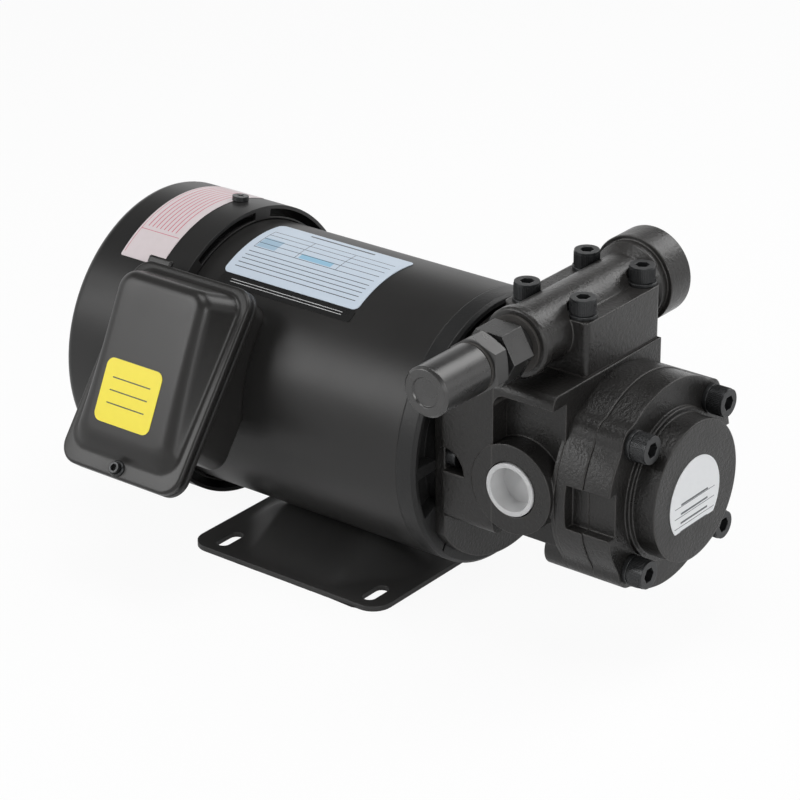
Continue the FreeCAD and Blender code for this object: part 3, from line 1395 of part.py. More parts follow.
def side_notches(body, low, high):
    for side in (-1, 1):
        notch = new_sketch(body, "YZ", d.casing_radius * side)
        draw_box(notch, (low, -d.notch_down), (high, d.notch_up))
        pocket(body, notch, d.notch_deep, toward=-side)


def rotor_housing():
    """Ring round the rotors, with its chamber off the shaft's axis."""
    body = new_body("rotor_housing", shaft_axis)
    base = new_sketch(body, "XZ", casing_joint)
    draw_drum(base, d.casing_radius)
    pad(body, base, casing_joint - chamber_front, toward=-1)
    chamber = new_sketch(body, "XZ", casing_joint)
    draw_circle(chamber, ZERO, d.rotor_offset, d.rotor_outer + d.run_gap)
    pocket(body, chamber, toward=-1)
    deep = d.ring_section * 2
    bore_y(body, ring(d.ring_circle - 1.3, d.ring_circle + 1.3, casing_joint - deep, casing_joint + 1))
    casing_holes(body, casing_joint)
    side_notches(body, chamber_front - 1, casing_joint - d.notch_start)
    return body


def pump_casing():
    """Front casing with the raised step and the end boss that holds the shaft's bush."""
    body = new_body("pump_casing", shaft_axis)
    base = new_sketch(body, "XZ", chamber_front)
    draw_drum(base, d.casing_waist)
    pad(body, base, chamber_front - casing_front, toward=-1)
    step = new_sketch(body, "XZ", casing_front + 2)
    draw_circle(step, ZERO, ZERO, d.step_radius)
    pad(body, step, d.step_high + 2, toward=-1)
    cap = new_sketch(body, "XZ", step_front + 1)
    draw_circle(cap, ZERO, ZERO, d.cap_radius)
    pad(body, cap, d.cap_long + 1, toward=-1)
    bore_y(body, [(ZERO, chamber_front + 1), (d.bush_radius + d.press_gap, chamber_front + 1),
                  (d.bush_radius + d.press_gap, bush_end), (ZERO, bush_end)])
    casing_holes(body, chamber_front)
    side_notches(body, casing_front - 1, chamber_front + 1)
    return body


def casing_o_ring():
    ring_part = doc.addObject("Part::Torus", "casing_o_ring")
    ring_part.Label = "casing_o_ring"
    bind(ring_part, "Radius1", d.ring_circle)
    bind(ring_part, "Radius2", d.ring_section - d.press_gap)
    place(ring_part, (ZERO, casing_joint - d.ring_section, d.shaft_height), Rotation(Vector(1, 0, 0), 90))
    return ring_part


def casing_fasteners():
    seat = casing_front - 0.02
    washer_end = seat - d.spring_washer
    flat_washers("casing_screw_washers", "XZ", lugs, seat, d.spring_washer, d.casing_screw + d.hole_gap,
                 d.casing_head + 0.4, toward=-1, at=shaft_axis)
    cap_screws("casing_screws", "XZ", lugs, washer_end - 0.02, d.casing_screw, d.casing_head, d.casing_head_high,
               d.casing_long + d.spring_washer + d.casing_grip, toward=-1, at=shaft_axis)


def pump_mounting_screws():
    seats = [(d.mount_x, d.mount_up), (-d.mount_x, d.mount_up)]
    return cap_screws("pump_mounting_screws", "XZ", seats, pump_flange_front - 0.02, d.mount_screw, d.mount_head,
                      d.mount_head_high, d.flange_thick + 8, toward=-1, at=shaft_axis)


def suction_port_plug():
    outer = d.port_thread - d.hole_gap
    face = -d.body_side - 0.6
    back = -d.body_side + 11
    return turned_x("suction_port_plug", [
        (face, outer - 2.5), (face, outer - 0.3), (back, outer - 0.3), (back, ZERO), (back - 2, ZERO),
        (back - 2, outer - 3),
    ], port_at)


def valve_block_outline(sketch):
    corner = Size(2.5)
    draw_round_box(sketch, (-d.valve_left, -d.valve_half), (d.valve_right, d.valve_half), corner)


def valve_body():
    body = new_body("valve_body", valve_at)
    floor = d.valve_gasket_thick - d.valve_up
    block = new_sketch(body, "XY", floor)
    valve_block_outline(block)
    pad(body, block, d.ledge_up - floor)
    tube = new_sketch(body, "XY")
    collar, near = d.collar_radius, -d.collar_at
    boss_start = d.outlet_at - d.outlet_long
    draw_outline(tube, [
        (near, ZERO), (near, collar - 1), (near + 1, collar), (near + 4.5, collar), (near + 5.5, d.valve_tube),
        (boss_start - 8, d.valve_tube), (boss_start - 4, d.outlet_radius - 2.2),
        (boss_start, d.outlet_radius - 2.2), (boss_start, d.outlet_radius),
        (d.outlet_at - 2, d.outlet_radius), (d.outlet_at, d.outlet_radius - 2), (d.outlet_at, ZERO),
    ])
    revolve(body, tube, "H_Axis")
    seats = new_sketch(body, "XY", d.ledge_up)
    for x, y in valve_screw_places():
        draw_circle(seats, x, y - valve_y, d.valve_washer + 0.5)
    pocket(body, seats, d.outlet_radius)
    drills = new_sketch(body, "XY", d.ledge_up)
    for x, y in valve_screw_places():
        draw_circle(drills, x, y - valve_y, d.valve_screw + d.hole_gap)
    pocket(body, drills, toward=-1)
    plug_end = near + 11.5
    bore_x(body, [
        (near - 1, ZERO), (near - 1, d.plug_thread + d.press_gap), (plug_end, d.plug_thread + d.press_gap),
        (plug_end, d.chamber_radius), (-d.seat_at, d.chamber_radius), (-d.seat_at, d.seat_radius),
        (-d.seat_at + 8, d.seat_radius), (-d.seat_at + 10, d.chamber_radius + 1),
        (boss_start, d.chamber_radius + 1), (boss_start, d.port_thread), (d.outlet_at + 1, d.port_thread),
        (d.outlet_at + 1, ZERO),
    ])
    for x, radius in ((-d.drill_at, d.drill_radius), (d.drill_at + 2, d.feed_radius)):
        drill = new_sketch(body, "XY", floor)
        draw_circle(drill, x, ZERO, radius)
        pocket(body, drill, d.valve_up - 4)
    return body


def valve_gasket():
    body = new_body("valve_gasket", (ZERO, valve_y, deck_z))
    sheet_sketch = new_sketch(body, "XY", 0.02)
    valve_block_outline(sheet_sketch)
    draw_circle(sheet_sketch, -d.drill_at, ZERO, d.drill_radius)
    draw_circle(sheet_sketch, d.drill_at + 2, ZERO, d.feed_radius)
    for x, y in valve_screw_places():
        draw_circle(sheet_sketch, x, y - valve_y, d.valve_screw + d.hole_gap)
    pad(body, sheet_sketch, d.valve_gasket_thick - 0.04)
    return body


def valve_fasteners():
    seat = valve_z + d.ledge_up + 0.02
    thick = Size(1.5)
    flat_washers("valve_screw_washers", "XY", valve_screw_places(), seat, thick, d.valve_screw + d.hole_gap,
                 d.valve_washer)
    cap_screws("valve_screws", "XY", valve_screw_places(), seat + thick + 0.02, d.valve_screw, d.valve_head,
               d.valve_head_high, d.valve_up + d.ledge_up + thick + 12)


def relief_poppet():
    guide = d.chamber_radius - d.run_gap
    shoulder = -d.seat_at - 9
    back = -d.seat_at - 24
    nose = -d.seat_at + 2.5
    lead = d.seat_radius - 0.3
    return turned_x("relief_poppet", [
        (nose, ZERO), (nose, lead - 2.5), (-d.seat_at, lead), (-d.seat_at - 4, lead + 2.4),
        (shoulder, lead + 2.4), (shoulder, guide), (back, guide), (back, guide - 1.6),
        (shoulder - 3, guide - 1.6), (shoulder - 3, ZERO),
    ], valve_at)


plug_near = -d.collar_at
hex_near = plug_near - d.seal_washer - d.neck_long
hex_far = hex_near - d.plug_hex_long
nut_near = hex_far - 2
nut_far = nut_near - d.nut_long
cap_near = nut_far - d.seal_washer
cap_far = cap_near - d.cap_nut_long
spring_right = -d.seat_at - 12.1
spring_left = plug_near + 0.5


def relief_spring():
    """Round wire wound about the valve axis, closed by its two ends."""
    mean, wire = d.spring_mean.value, d.spring_wire.value
    run = number(spring_right - spring_left) - 2 * wire
    helix = Part.makeHelix(run / d.spring_turns.value, run, mean)
    section = Part.Wire(Part.Circle(Vector(mean, 0, 0), Vector(0, 1, 0), wire).toShape())
    coil = Part.Wire(helix.Edges).makePipeShell([section], True, True)
    spring = doc.addObject("Part::Feature", "relief_spring")
    spring.Label = "relief_spring"
    spring.Shape = coil
    place(spring, (spring_left + d.spring_wire, valve_y, valve_z), Rotation(Vector(0, 1, 0), 90))
    return spring


def spring_seat():
    radius = d.adjust_radius - 0.1
    left = spring_left - 3.2
    return turned_x("spring_seat", [
        (left, ZERO), (left, radius), (spring_left - 0.1, radius), (spring_left - 0.1, d.spring_mean - 1.6),
        (spring_left + 3, d.spring_mean - 1.6), (spring_left + 3, ZERO),
    ], valve_at)


def adjusting_screw():
    start = spring_left - 3.25
    end = cap_far + 11
    body = turned_x("adjusting_screw", [
        (start, ZERO), (start, d.adjust_radius - 1), (start - 1, d.adjust_radius), (end + 1, d.adjust_radius),
        (end, d.adjust_radius - 1), (end, ZERO),
    ], valve_at)
    key = new_sketch(body, "YZ", end)
    draw_hexagon(key, ZERO, ZERO, Size(6))
    pocket(body, key, 5.0)
    return body


def hex_plug():
    neck = d.plug_thread + 0.6
    tip = plug_near + 11
    bore = d.adjust_radius + d.run_gap
    body = turned_x("hex_plug", [
        (tip, bore), (tip, d.plug_thread), (plug_near - d.seal_washer - 0.02, d.plug_thread),
        (plug_near - d.seal_washer - 0.02, neck), (hex_near - 1, neck), (hex_near - 1, bore),
    ], valve_at)
    hexagon = new_sketch(body, "YZ", hex_near)
    draw_hexagon(hexagon, ZERO, ZERO, d.hex_flats)
    draw_circle(hexagon, ZERO, ZERO, bore)
    pad(body, hexagon, d.plug_hex_long, toward=-1)
    return body


def nut_with_hexagon(label, near, far, turn):
    body = new_body(label, valve_at)
    sketch = new_sketch(body, "YZ", near)
    draw_hexagon(sketch, ZERO, ZERO, d.hex_flats, turn)
    draw_circle(sketch, ZERO, ZERO, d.adjust_radius + d.run_gap)
    pad(body, sketch, near - far, toward=-1)
    chamfer = new_sketch(body, "XY")
    reach = d.hex_flats / math.sqrt(3)
    bevel = 1.2
    for face, inward in ((near, -bevel), (far, bevel)):
        draw_outline(chamfer, [
            (face, reach + 1), (face, reach - 2), (face + inward, reach + 1),
        ])
    groove(body, chamfer, "H_Axis")
    return body


def cap_nut():
    outer, inner = d.cap_nut_radius, d.adjust_radius + d.hole_gap
    return turned_x("cap_nut", [
        (cap_near, inner), (cap_near, outer - 1), (cap_near - 1, outer), (cap_far + 1.2, outer),
        (cap_far, outer - 1.2), (cap_far, outer - 4.6), (cap_far + 0.8, outer - 5.1), (cap_far + 0.8, ZERO),
        (cap_far + 5.5, ZERO), (cap_far + 5.5, inner),
    ], valve_at)


def sealing_washer(label, right, inner, outer):
    low, high = right - d.seal_washer, right - 0.02
    return turned_x(label, [(low, inner), (low, outer), (high, outer), (high, inner)], valve_at)


motor_frame()
mounting_foot()
front_bracket()
rear_bracket()
tie_rods()
stator_core()
winding_head("winding_front", -1)
winding_head("winding_rear", 1)
rotor_core()
rotor_end_rings()
motor_shaft()
front_bearing = (d.front_bearing_bore, d.front_bearing_outer, d.front_bearing_wide, d.front_ball, front_bearing_start)
rear_bearing = (d.rear_bearing_bore, d.rear_bearing_outer, d.rear_bearing_wide, d.rear_ball, rear_bearing_start)
bearing_rings("front_bearing", *front_bearing)
bearing_rings("rear_bearing", *rear_bearing)
bearing_balls("front_bearing_balls", *front_bearing, 7)
bearing_balls("rear_bearing_balls", *rear_bearing, 7)
preload_washer()
cooling_fan()
fan_retaining_ring()
fan_cover()
fan_cover_screws()
terminal_box_base()
terminal_box_gasket()
terminal_box_cover()
terminal_cover_screw()
terminal_block()
terminal_studs()
casting_halves(pump_casting())
bush("body_bush", casing_joint + 0.2, seal_front - 1.1)
bush("casing_bush", bush_end + 0.2, chamber_front - 0.05)
shaft_seal()
pump_shaft()
drive_key()
inner_rotor()
outer_rotor()
rotor_housing()
pump_casing()
casing_o_ring()
casing_fasteners()
pump_mounting_screws()
suction_port_plug()
valve_body()
valve_gasket()
valve_fasteners()
relief_poppet()
relief_spring()
spring_seat()
adjusting_screw()
hex_plug()
nut_with_hexagon("lock_nut", nut_near, nut_far, 24)
cap_nut()
sealing_washer("plug_seal_washer", plug_near, d.plug_thread + d.press_gap, d.collar_radius - 3)
sealing_washer("cap_seal_washer", nut_far, d.adjust_radius + d.run_gap, d.cap_nut_radius - 0.4)

NODES = [
    "motor_frame", "mounting_foot", "front_bracket", "rear_bracket", "tie_rods", "stator_core", "winding_front",
    "winding_rear", "rotor_core", "rotor_end_rings", "motor_shaft", "front_bearing_outer_ring",
    "front_bearing_inner_ring", "front_bearing_balls", "rear_bearing_outer_ring", "rear_bearing_inner_ring",
    "rear_bearing_balls", "preload_washer", "cooling_fan", "fan_retaining_ring", "fan_cover", "fan_cover_screws",
    "terminal_box_base", "terminal_box_gasket", "terminal_box_cover", "terminal_cover_screw", "terminal_block",
    "terminal_studs", "pump_bracket", "pump_body", "body_bush", "casing_bush", "shaft_seal", "pump_shaft", "drive_key",
    "inner_rotor", "outer_rotor", "rotor_housing", "pump_casing", "casing_o_ring", "casing_screws", "casing_screw_washers",
    "pump_mounting_screws", "suction_port_plug", "valve_body", "valve_gasket", "valve_screws",
    "valve_screw_washers", "relief_poppet", "relief_spring", "spring_seat", "adjusting_screw", "hex_plug",
    "lock_nut", "cap_nut", "plug_seal_washer", "cap_seal_washer",
]

doc.recompute()

faults = [thing.Label for thing in doc.Objects if {"Invalid", "Error"} & set(thing.State)]
if faults:
    raise RuntimeError(f"objects that failed: {faults}")

os.makedirs("parts", exist_ok=True)
pieces = {thing.Label: thing for thing in doc.Objects}
for name in NODES:
    shape = pieces[name].Shape
    if shape.isNull() or not shape.isValid() or not shape.Solids:
        raise RuntimeError(f"{name} has no valid solid")
for name in NODES:
    shape = pieces[name].Shape
    shape.exportStep(f"parts/{name}.step")
    print(f"{name}: {len(shape.Solids)} solids, {shape.Volume / 1000:.2f} cm3")
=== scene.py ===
import json
import math

import bmesh
import bpy
from mathutils import Matrix, Vector
from mathutils.geometry import delaunay_2d_cdt


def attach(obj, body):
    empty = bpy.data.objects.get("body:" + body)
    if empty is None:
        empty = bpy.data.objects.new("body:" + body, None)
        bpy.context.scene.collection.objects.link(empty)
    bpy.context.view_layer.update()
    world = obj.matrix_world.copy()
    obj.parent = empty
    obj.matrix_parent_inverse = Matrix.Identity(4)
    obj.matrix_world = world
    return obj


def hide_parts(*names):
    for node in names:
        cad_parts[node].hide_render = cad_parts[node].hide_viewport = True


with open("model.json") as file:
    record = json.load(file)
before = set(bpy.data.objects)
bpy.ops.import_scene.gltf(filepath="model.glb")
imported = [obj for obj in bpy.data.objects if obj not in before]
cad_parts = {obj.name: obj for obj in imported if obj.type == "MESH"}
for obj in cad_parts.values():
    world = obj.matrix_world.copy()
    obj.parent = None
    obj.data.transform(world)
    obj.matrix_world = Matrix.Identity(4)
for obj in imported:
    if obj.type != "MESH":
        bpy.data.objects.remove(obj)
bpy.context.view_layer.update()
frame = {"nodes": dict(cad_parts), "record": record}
print("frame loaded:", len(frame["nodes"]), "nodes")


# Helpers for node trees

def addNode(tree, kind, inputs=None, **settings):
    node = tree.nodes.new(kind)
    for key, value in settings.items():
        setattr(node, key, value)
    for key, value in (inputs or {}).items():
        if isinstance(value, bpy.types.NodeSocket):
            tree.links.new(value, node.inputs[key])
        else:
            node.inputs[key].default_value = value
    return node


def startMaterial(name):
    material = bpy.data.materials.new(name)
    material.use_nodes = True
    tree = material.node_tree
    tree.nodes.clear()
    return material, tree


def finishMaterial(tree, shader):
    output = addNode(tree, "ShaderNodeOutputMaterial")
    tree.links.new(shader.outputs[0], output.inputs["Surface"])


def grey(level, warm=0.0):
    return (level * (1 + warm), level, level * (1 - warm), 1)


# Surfaces: a broad pattern varies colour and gloss, a fine one gives the grain

# The paler edge tone in some looks is partly wear and partly a painted highlight along the edges.
surfaceLooks = {
    "motorPaint": {"dark": grey(0.016, 0.03), "light": grey(0.021, 0.03), "rough": (0.34, 0.40), "patch": 22,
                   "grain": 900, "depth": 0.00003, "edge": 0.0006, "shine": 0.32},
    "coverPaint": {"dark": grey(0.016, 0.02), "light": grey(0.021, 0.02), "rough": (0.32, 0.38), "patch": 22,
                   "grain": 900, "depth": 0.00003, "edge": 0.0004, "shine": 0.34},
    "boxPaint": {"dark": grey(0.017, 0.04), "light": grey(0.023, 0.04), "rough": (0.30, 0.36), "patch": 26,
                 "grain": 1100, "depth": 0.00002, "edge": 0.0012, "shine": 0.36},
    # The foot's paint is lighter than the motor's: painted sheen that stands in for the soft reflections on its
    # folds.
    "footPaintWithSheen": {"dark": grey(0.034, 0.02), "light": grey(0.048, 0.02), "rough": (0.40, 0.48), "patch": 30,
                  "grain": 900, "depth": 0.00003, "edge": 0.0010, "shine": 0.36},
    "bracketPaint": {"dark": grey(0.012), "light": grey(0.018), "rough": (0.34, 0.44), "patch": 40,
                     "grain": 700, "depth": 0.00010, "edge": 0.0008, "shine": 0.30},
    "pumpIron": {"dark": grey(0.010, 0.05), "light": grey(0.019, 0.06), "rough": (0.24, 0.42), "patch": 55,
                 "grain": 620, "depth": 0.00032, "edge": 0.0012, "shine": 0.42, "seam": -0.115,
                 "edgeWearAndHighlight": (grey(0.10, 0.06), 0.80)},
    "valveIron": {"dark": grey(0.013, 0.05), "light": grey(0.026, 0.06), "rough": (0.22, 0.36), "patch": 60,
                  "grain": 640, "depth": 0.00024, "edge": 0.0012, "shine": 0.46,
                  "edgeWearAndHighlight": (grey(0.11, 0.06), 0.90)},
    "blackScrew": {"dark": grey(0.030, -0.03), "light": grey(0.050, -0.03), "rough": (0.26, 0.36), "patch": 200,
                   "grain": 1500, "depth": 0.00002, "edge": 0.0005, "metal": 0.6, "shine": 0.45,
                   "edgeWearAndHighlight": (grey(0.16), 0.5)},
    "blackSteel": {"dark": grey(0.070, 0.01), "light": grey(0.105, 0.01), "rough": (0.24, 0.33), "patch": 90,
                   "grain": 1500, "depth": 0.00002, "edge": 0.0005, "metal": 0.75, "shine": 0.45},
    "brightSteel": {"dark": grey(0.50), "light": grey(0.62), "rough": (0.22, 0.34), "patch": 120,
                    "grain": 1800, "depth": 0.00001, "edge": 0.0002, "metal": 1.0},
    "coreSteel": {"dark": grey(0.30), "light": grey(0.42), "rough": (0.40, 0.55), "patch": 120,
                  "grain": 1500, "depth": 0.00003, "edge": 0.0003, "metal": 1.0},
    "sinteredSteel": {"dark": grey(0.36, 0.03), "light": grey(0.46, 0.03), "rough": (0.34, 0.48), "patch": 150,
                      "grain": 2200, "depth": 0.00003, "edge": 0.0003, "metal": 1.0},
    "copperWire": {"dark": (0.45, 0.16, 0.06, 1), "light": (0.62, 0.24, 0.10, 1), "rough": (0.30, 0.45),
                   "patch": 120, "grain": 800, "depth": 0.0003, "edge": 0.0004, "metal": 1.0},
    "castAluminium": {"dark": grey(0.55), "light": grey(0.66), "rough": (0.40, 0.55), "patch": 80,
                      "grain": 900, "depth": 0.00006, "edge": 0.0004, "metal": 1.0},
    "bushBronze": {"dark": (0.42, 0.27, 0.11, 1), "light": (0.52, 0.34, 0.15, 1), "rough": (0.30, 0.42),
                   "patch": 120, "grain": 1500, "depth": 0.00002, "edge": 0.0003, "metal": 1.0},
    "blackRubber": {"dark": grey(0.008), "light": grey(0.013), "rough": (0.60, 0.75), "patch": 90,
                    "grain": 1200, "depth": 0.00004, "edge": 0.0004},
    "sealFibre": {"dark": grey(0.030, 0.08), "light": grey(0.050, 0.08), "rough": (0.60, 0.75), "patch": 200,
                  "grain": 1500, "depth": 0.00006, "edge": 0.0003},
    "fanPlastic": {"dark": grey(0.012), "light": grey(0.018), "rough": (0.42, 0.52), "patch": 60,
                   "grain": 1200, "depth": 0.00003, "edge": 0.0004},
    "blockPlastic": {"dark": grey(0.030, 0.10), "light": grey(0.045, 0.10), "rough": (0.36, 0.48), "patch": 60,
                     "grain": 1200, "depth": 0.00002, "edge": 0.0005},
    "contactBrass": {"dark": (0.52, 0.36, 0.12, 1), "light": (0.66, 0.47, 0.17, 1), "rough": (0.25, 0.36),
                     "patch": 120, "grain": 1500, "depth": 0.00001, "edge": 0.0003, "metal": 1.0},
    "plugPlastic": {"dark": grey(0.56), "light": grey(0.64), "rough": (0.28, 0.34), "patch": 60,
                    "grain": 900, "depth": 0.00001, "edge": 0.0006, "milky": 0.35},
}


surfacePattern = {"broadDetail": 3.0, "fineDetail": 4.0, "fineRoughness": 0.6, "glossFrom": 0.3, "glossTo": 0.7,
                  "edgeSamples": 8, "edgeFrom": 0.985, "edgeTo": 0.80, "seamReach": 0.0016, "milkyDepth": 0.002}


def surfaceMaterial(name, look):
    material, tree = startMaterial(name)
    place = addNode(tree, "ShaderNodeTexCoord").outputs["Object"]
    pattern = surfacePattern
    broad = addNode(tree, "ShaderNodeTexNoise",
                    {"Vector": place, "Scale": look["patch"], "Detail": pattern["broadDetail"]})
    fine = addNode(tree, "ShaderNodeTexNoise",
                   {"Vector": place, "Scale": look["grain"], "Detail": pattern["fineDetail"],
                    "Roughness": pattern["fineRoughness"]})
    tone = addNode(tree, "ShaderNodeMix", {0: broad.outputs[0], 6: look["dark"], 7: look["light"]},
                   data_type="RGBA").outputs[2]
    gloss = addNode(tree, "ShaderNodeMapRange",
                    {"Value": broad.outputs[0], "From Min": pattern["glossFrom"], "From Max": pattern["glossTo"],
                     "To Min": look["rough"][0], "To Max": look["rough"][1]})
    rounded = addNode(tree, "ShaderNodeBevel", {"Radius": look["edge"]}, samples=pattern["edgeSamples"])
    normal = rounded.outputs[0]
    if "edgeWearAndHighlight" in look:  # edges a little paler, broken up by the broad pattern: partly wear, partly a painted highlight along the edges
        edgeWearHighlightTone, edgeWearHighlightShare = look["edgeWearAndHighlight"]
        faceOn = addNode(tree, "ShaderNodeNewGeometry").outputs["Normal"]
        turned = addNode(tree, "ShaderNodeVectorMath", {0: normal, 1: faceOn}, operation="DOT_PRODUCT")
        atEdge = addNode(tree, "ShaderNodeMapRange",
                         {"Value": turned.outputs["Value"], "From Min": pattern["edgeFrom"],
                          "From Max": pattern["edgeTo"], "To Min": 0.0, "To Max": edgeWearHighlightShare})
        patchy = addNode(tree, "ShaderNodeMath", {0: atEdge.outputs[0], 1: broad.outputs[0]},
                         operation="MULTIPLY")
        tone = addNode(tree, "ShaderNodeMix", {0: patchy.outputs[0], 6: tone, 7: edgeWearHighlightTone},
                       data_type="RGBA").outputs[2]
    if "seam" in look:  # two solids of one casting meet here, so no edge shows
        along = addNode(tree, "ShaderNodeSeparateXYZ", {"Vector": place}).outputs[1]
        near = addNode(tree, "ShaderNodeMath", {0: along, 1: look["seam"], 2: pattern["seamReach"]},
                       operation="COMPARE")
        flat = addNode(tree, "ShaderNodeNewGeometry").outputs["Normal"]
        normal = addNode(tree, "ShaderNodeMix", {0: near.outputs[0], 4: normal, 5: flat},
                         data_type="VECTOR").outputs[1]
    bump = addNode(tree, "ShaderNodeBump", {"Height": fine.outputs[0], "Strength": 1.0,
                                            "Distance": look["depth"], "Normal": normal})
    shader = addNode(tree, "ShaderNodeBsdfPrincipled",
                     {"Base Color": tone, "Roughness": gloss.outputs[0], "Normal": bump.outputs[0],
                      "Metallic": look.get("metal", 0.0), "Specular IOR Level": look.get("shine", 0.5)})
    if "milky" in look:
        shader.inputs["Subsurface Weight"].default_value = look["milky"]
        shader.inputs["Subsurface Radius"].default_value = [pattern["milkyDepth"]] * 3
    finishMaterial(tree, shader)
    return material


surfaces = {name: surfaceMaterial(name, look) for name, look in surfaceLooks.items()}

slotSurfaces = {
    "motor_paint": "motorPaint", "cover_paint": "coverPaint", "box_paint": "boxPaint", "foot_paint": "footPaintWithSheen",
    "bracket_paint": "bracketPaint", "pump_iron": "pumpIron", "valve_iron": "valveIron",
    "black_screw": "blackScrew", "black_steel": "blackSteel", "bright_steel": "brightSteel",
    "core_steel": "coreSteel", "sintered_steel": "sinteredSteel", "copper_wire": "copperWire",
    "cast_aluminium": "castAluminium", "bush_bronze": "bushBronze", "black_rubber": "blackRubber",
    "seal_fibre": "sealFibre", "fan_plastic": "fanPlastic", "block_plastic": "blockPlastic",
    "contact_brass": "contactBrass", "plug_plastic": "plugPlastic",
}

smoothing = {"weld": 0.000002, "sharpAngle": math.radians(28)}

for subpart in frame["record"]["subparts"]:
    node = frame["nodes"][subpart["node"]]
    node.data.materials.clear()
    node.data.materials.append(surfaces[slotSurfaces[subpart["material_slot"]]])
    for polygon in node.data.polygons:
        polygon.use_smooth = True
    if "custom_normal" in node.data.attributes:
        node.data.attributes.remove(node.data.attributes["custom_normal"])
    weld = node.modifiers.new("weld", "WELD")
    weld.merge_threshold = smoothing["weld"]
    split = node.modifiers.new("sharpEdges", "EDGE_SPLIT")
    split.split_angle = smoothing["sharpAngle"]
print("surfaces set on", len(frame["nodes"]), "nodes")


# Places that the CAD gives

shaftHeight = 0.080
tubeRadius = 0.065
coverRadius = 0.072


def meshObject(name, mesh, material, body):
    piece = bpy.data.objects.new(name, mesh)
    bpy.context.scene.collection.objects.link(piece)
    mesh.materials.clear()
    mesh.materials.append(material)
    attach(piece, body)
    return piece


def keepMesh(name, mesh):  # an edited mesh becomes a plain one
    data = bpy.data.meshes.new(name)
    mesh.to_mesh(data)
    mesh.free()
    return data


def aroundShaft(radius, angle, y):  # the angle runs from straight up towards +X
    return Vector((radius * math.sin(angle), y, shaftHeight + radius * math.cos(angle)))


def edgeInset(along, length, corner):  # how far a rounded outline draws in
    nearest = min(along, length - along)
    if nearest >= corner:
        return 0.0
    return corner - math.sqrt(max(corner * corner - (corner - nearest) ** 2, 0))


def stripRows(length, corner, steps, cornerSteps=6):  # closer together at the rounded corners
    rows = [corner * (1 - math.cos(math.pi / 2 * k / cornerSteps)) for k in range(cornerSteps + 1)]
    middle = [corner + (length - 2 * corner) * k / steps for k in range(1, steps)]
    return rows + middle + [length - row for row in reversed(rows)]


def labelMesh(name, width, length, corner, place, thickness, steps=40):
    # place turns (across, along, height) into a point
    mesh = bmesh.new()
    uv = mesh.loops.layers.uv.new("label")
    rows = []
    for along in stripRows(length, corner, steps):
        inset = edgeInset(along, length, corner)
        across = (inset, width / 2, width - inset)
        rows.append([(u, along, [mesh.verts.new(place(u, along, h)) for h in (thickness, 0)])
                     for u in across])

    def face(corners):
        made = mesh.faces.new([point[2][side] for point, side in corners])
        for loop, (point, side) in zip(made.loops, corners):
            loop[uv].uv = (point[0] / width, point[1] / length)

    for low, high in zip(rows, rows[1:]):
        for left in (0, 1):
            face([(low[left], 0), (low[left + 1], 0), (high[left + 1], 0), (high[left], 0)])
            face([(high[left], 1), (high[left + 1], 1), (low[left + 1], 1), (low[left], 1)])
        for side in (0, 2):
            ends = [(low[side], 1), (low[side], 0), (high[side], 0), (high[side], 1)]
            face(ends if side == 0 else ends[::-1])
    for row in (rows[0], rows[-1]):
        for left in (0, 1):
            face([(row[left], 0), (row[left], 1), (row[left + 1], 1), (row[left + 1], 0)])
    bmesh.ops.recalc_face_normals(mesh, faces=mesh.faces)
    return keepMesh(name, mesh)


labelGrain = {"Scale": 260.0, "Detail": 3.0}


def labelMaterial(name, look):
    material, tree = startMaterial(name)
    uv = addNode(tree, "ShaderNodeUVMap", uv_map="label")
    split = addNode(tree, "ShaderNodeSeparateXYZ", {"Vector": uv.outputs[0]})
    across, along = split.outputs[0], split.outputs[1]

    def maths(operation, first, second=0.0):
        return addNode(tree, "ShaderNodeMath", {0: first, 1: second}, operation=operation).outputs[0]

    def inside(value, low, high):
        return maths("MULTIPLY", maths("GREATER_THAN", value, low), maths("LESS_THAN", value, high))

    def blend(share, first, second):
        return addNode(tree, "ShaderNodeMix", {0: share, 6: first, 7: second}, data_type="RGBA").outputs[2]

    marks = None
    for ruling in look["rulings"]:
        source, other = (across, along) if ruling["axis"] == "across" else (along, across)
        density = ruling["count"] / (ruling["end"] - ruling["start"])
        steps = maths("FRACT", maths("MULTIPLY", maths("SUBTRACT", source, ruling["start"]), density))
        line = maths("MULTIPLY", maths("LESS_THAN", steps, ruling["share"]),
                     inside(source, ruling["start"], ruling["end"]))
        line = maths("MULTIPLY", line, inside(other, *ruling["span"]))
        marks = line if marks is None else maths("MAXIMUM", marks, line)
    place = addNode(tree, "ShaderNodeTexCoord").outputs["Object"]
    speck = addNode(tree, "ShaderNodeTexNoise", {"Vector": place, **labelGrain}).outputs[0]
    tone = blend(speck, look["sheet"], look["sheetWorn"])
    for tint in look.get("tints", []):
        cell = maths("MULTIPLY", inside(across, *tint["across"]), inside(along, *tint["along"]))
        tone = blend(cell, tone, tint["colour"])
    tone = blend(marks, tone, look["ink"])
    gloss = addNode(tree, "ShaderNodeMapRange",
                    {"Value": speck, "To Min": look["rough"][0], "To Max": look["rough"][1]})
    shader = addNode(tree, "ShaderNodeBsdfPrincipled", {"Base Color": tone, "Roughness": gloss.outputs[0],
                                                        "Metallic": look.get("metal", 0.0)})
    finishMaterial(tree, shader)
    return material


# Sheets laid round the motor tube and the fan cover

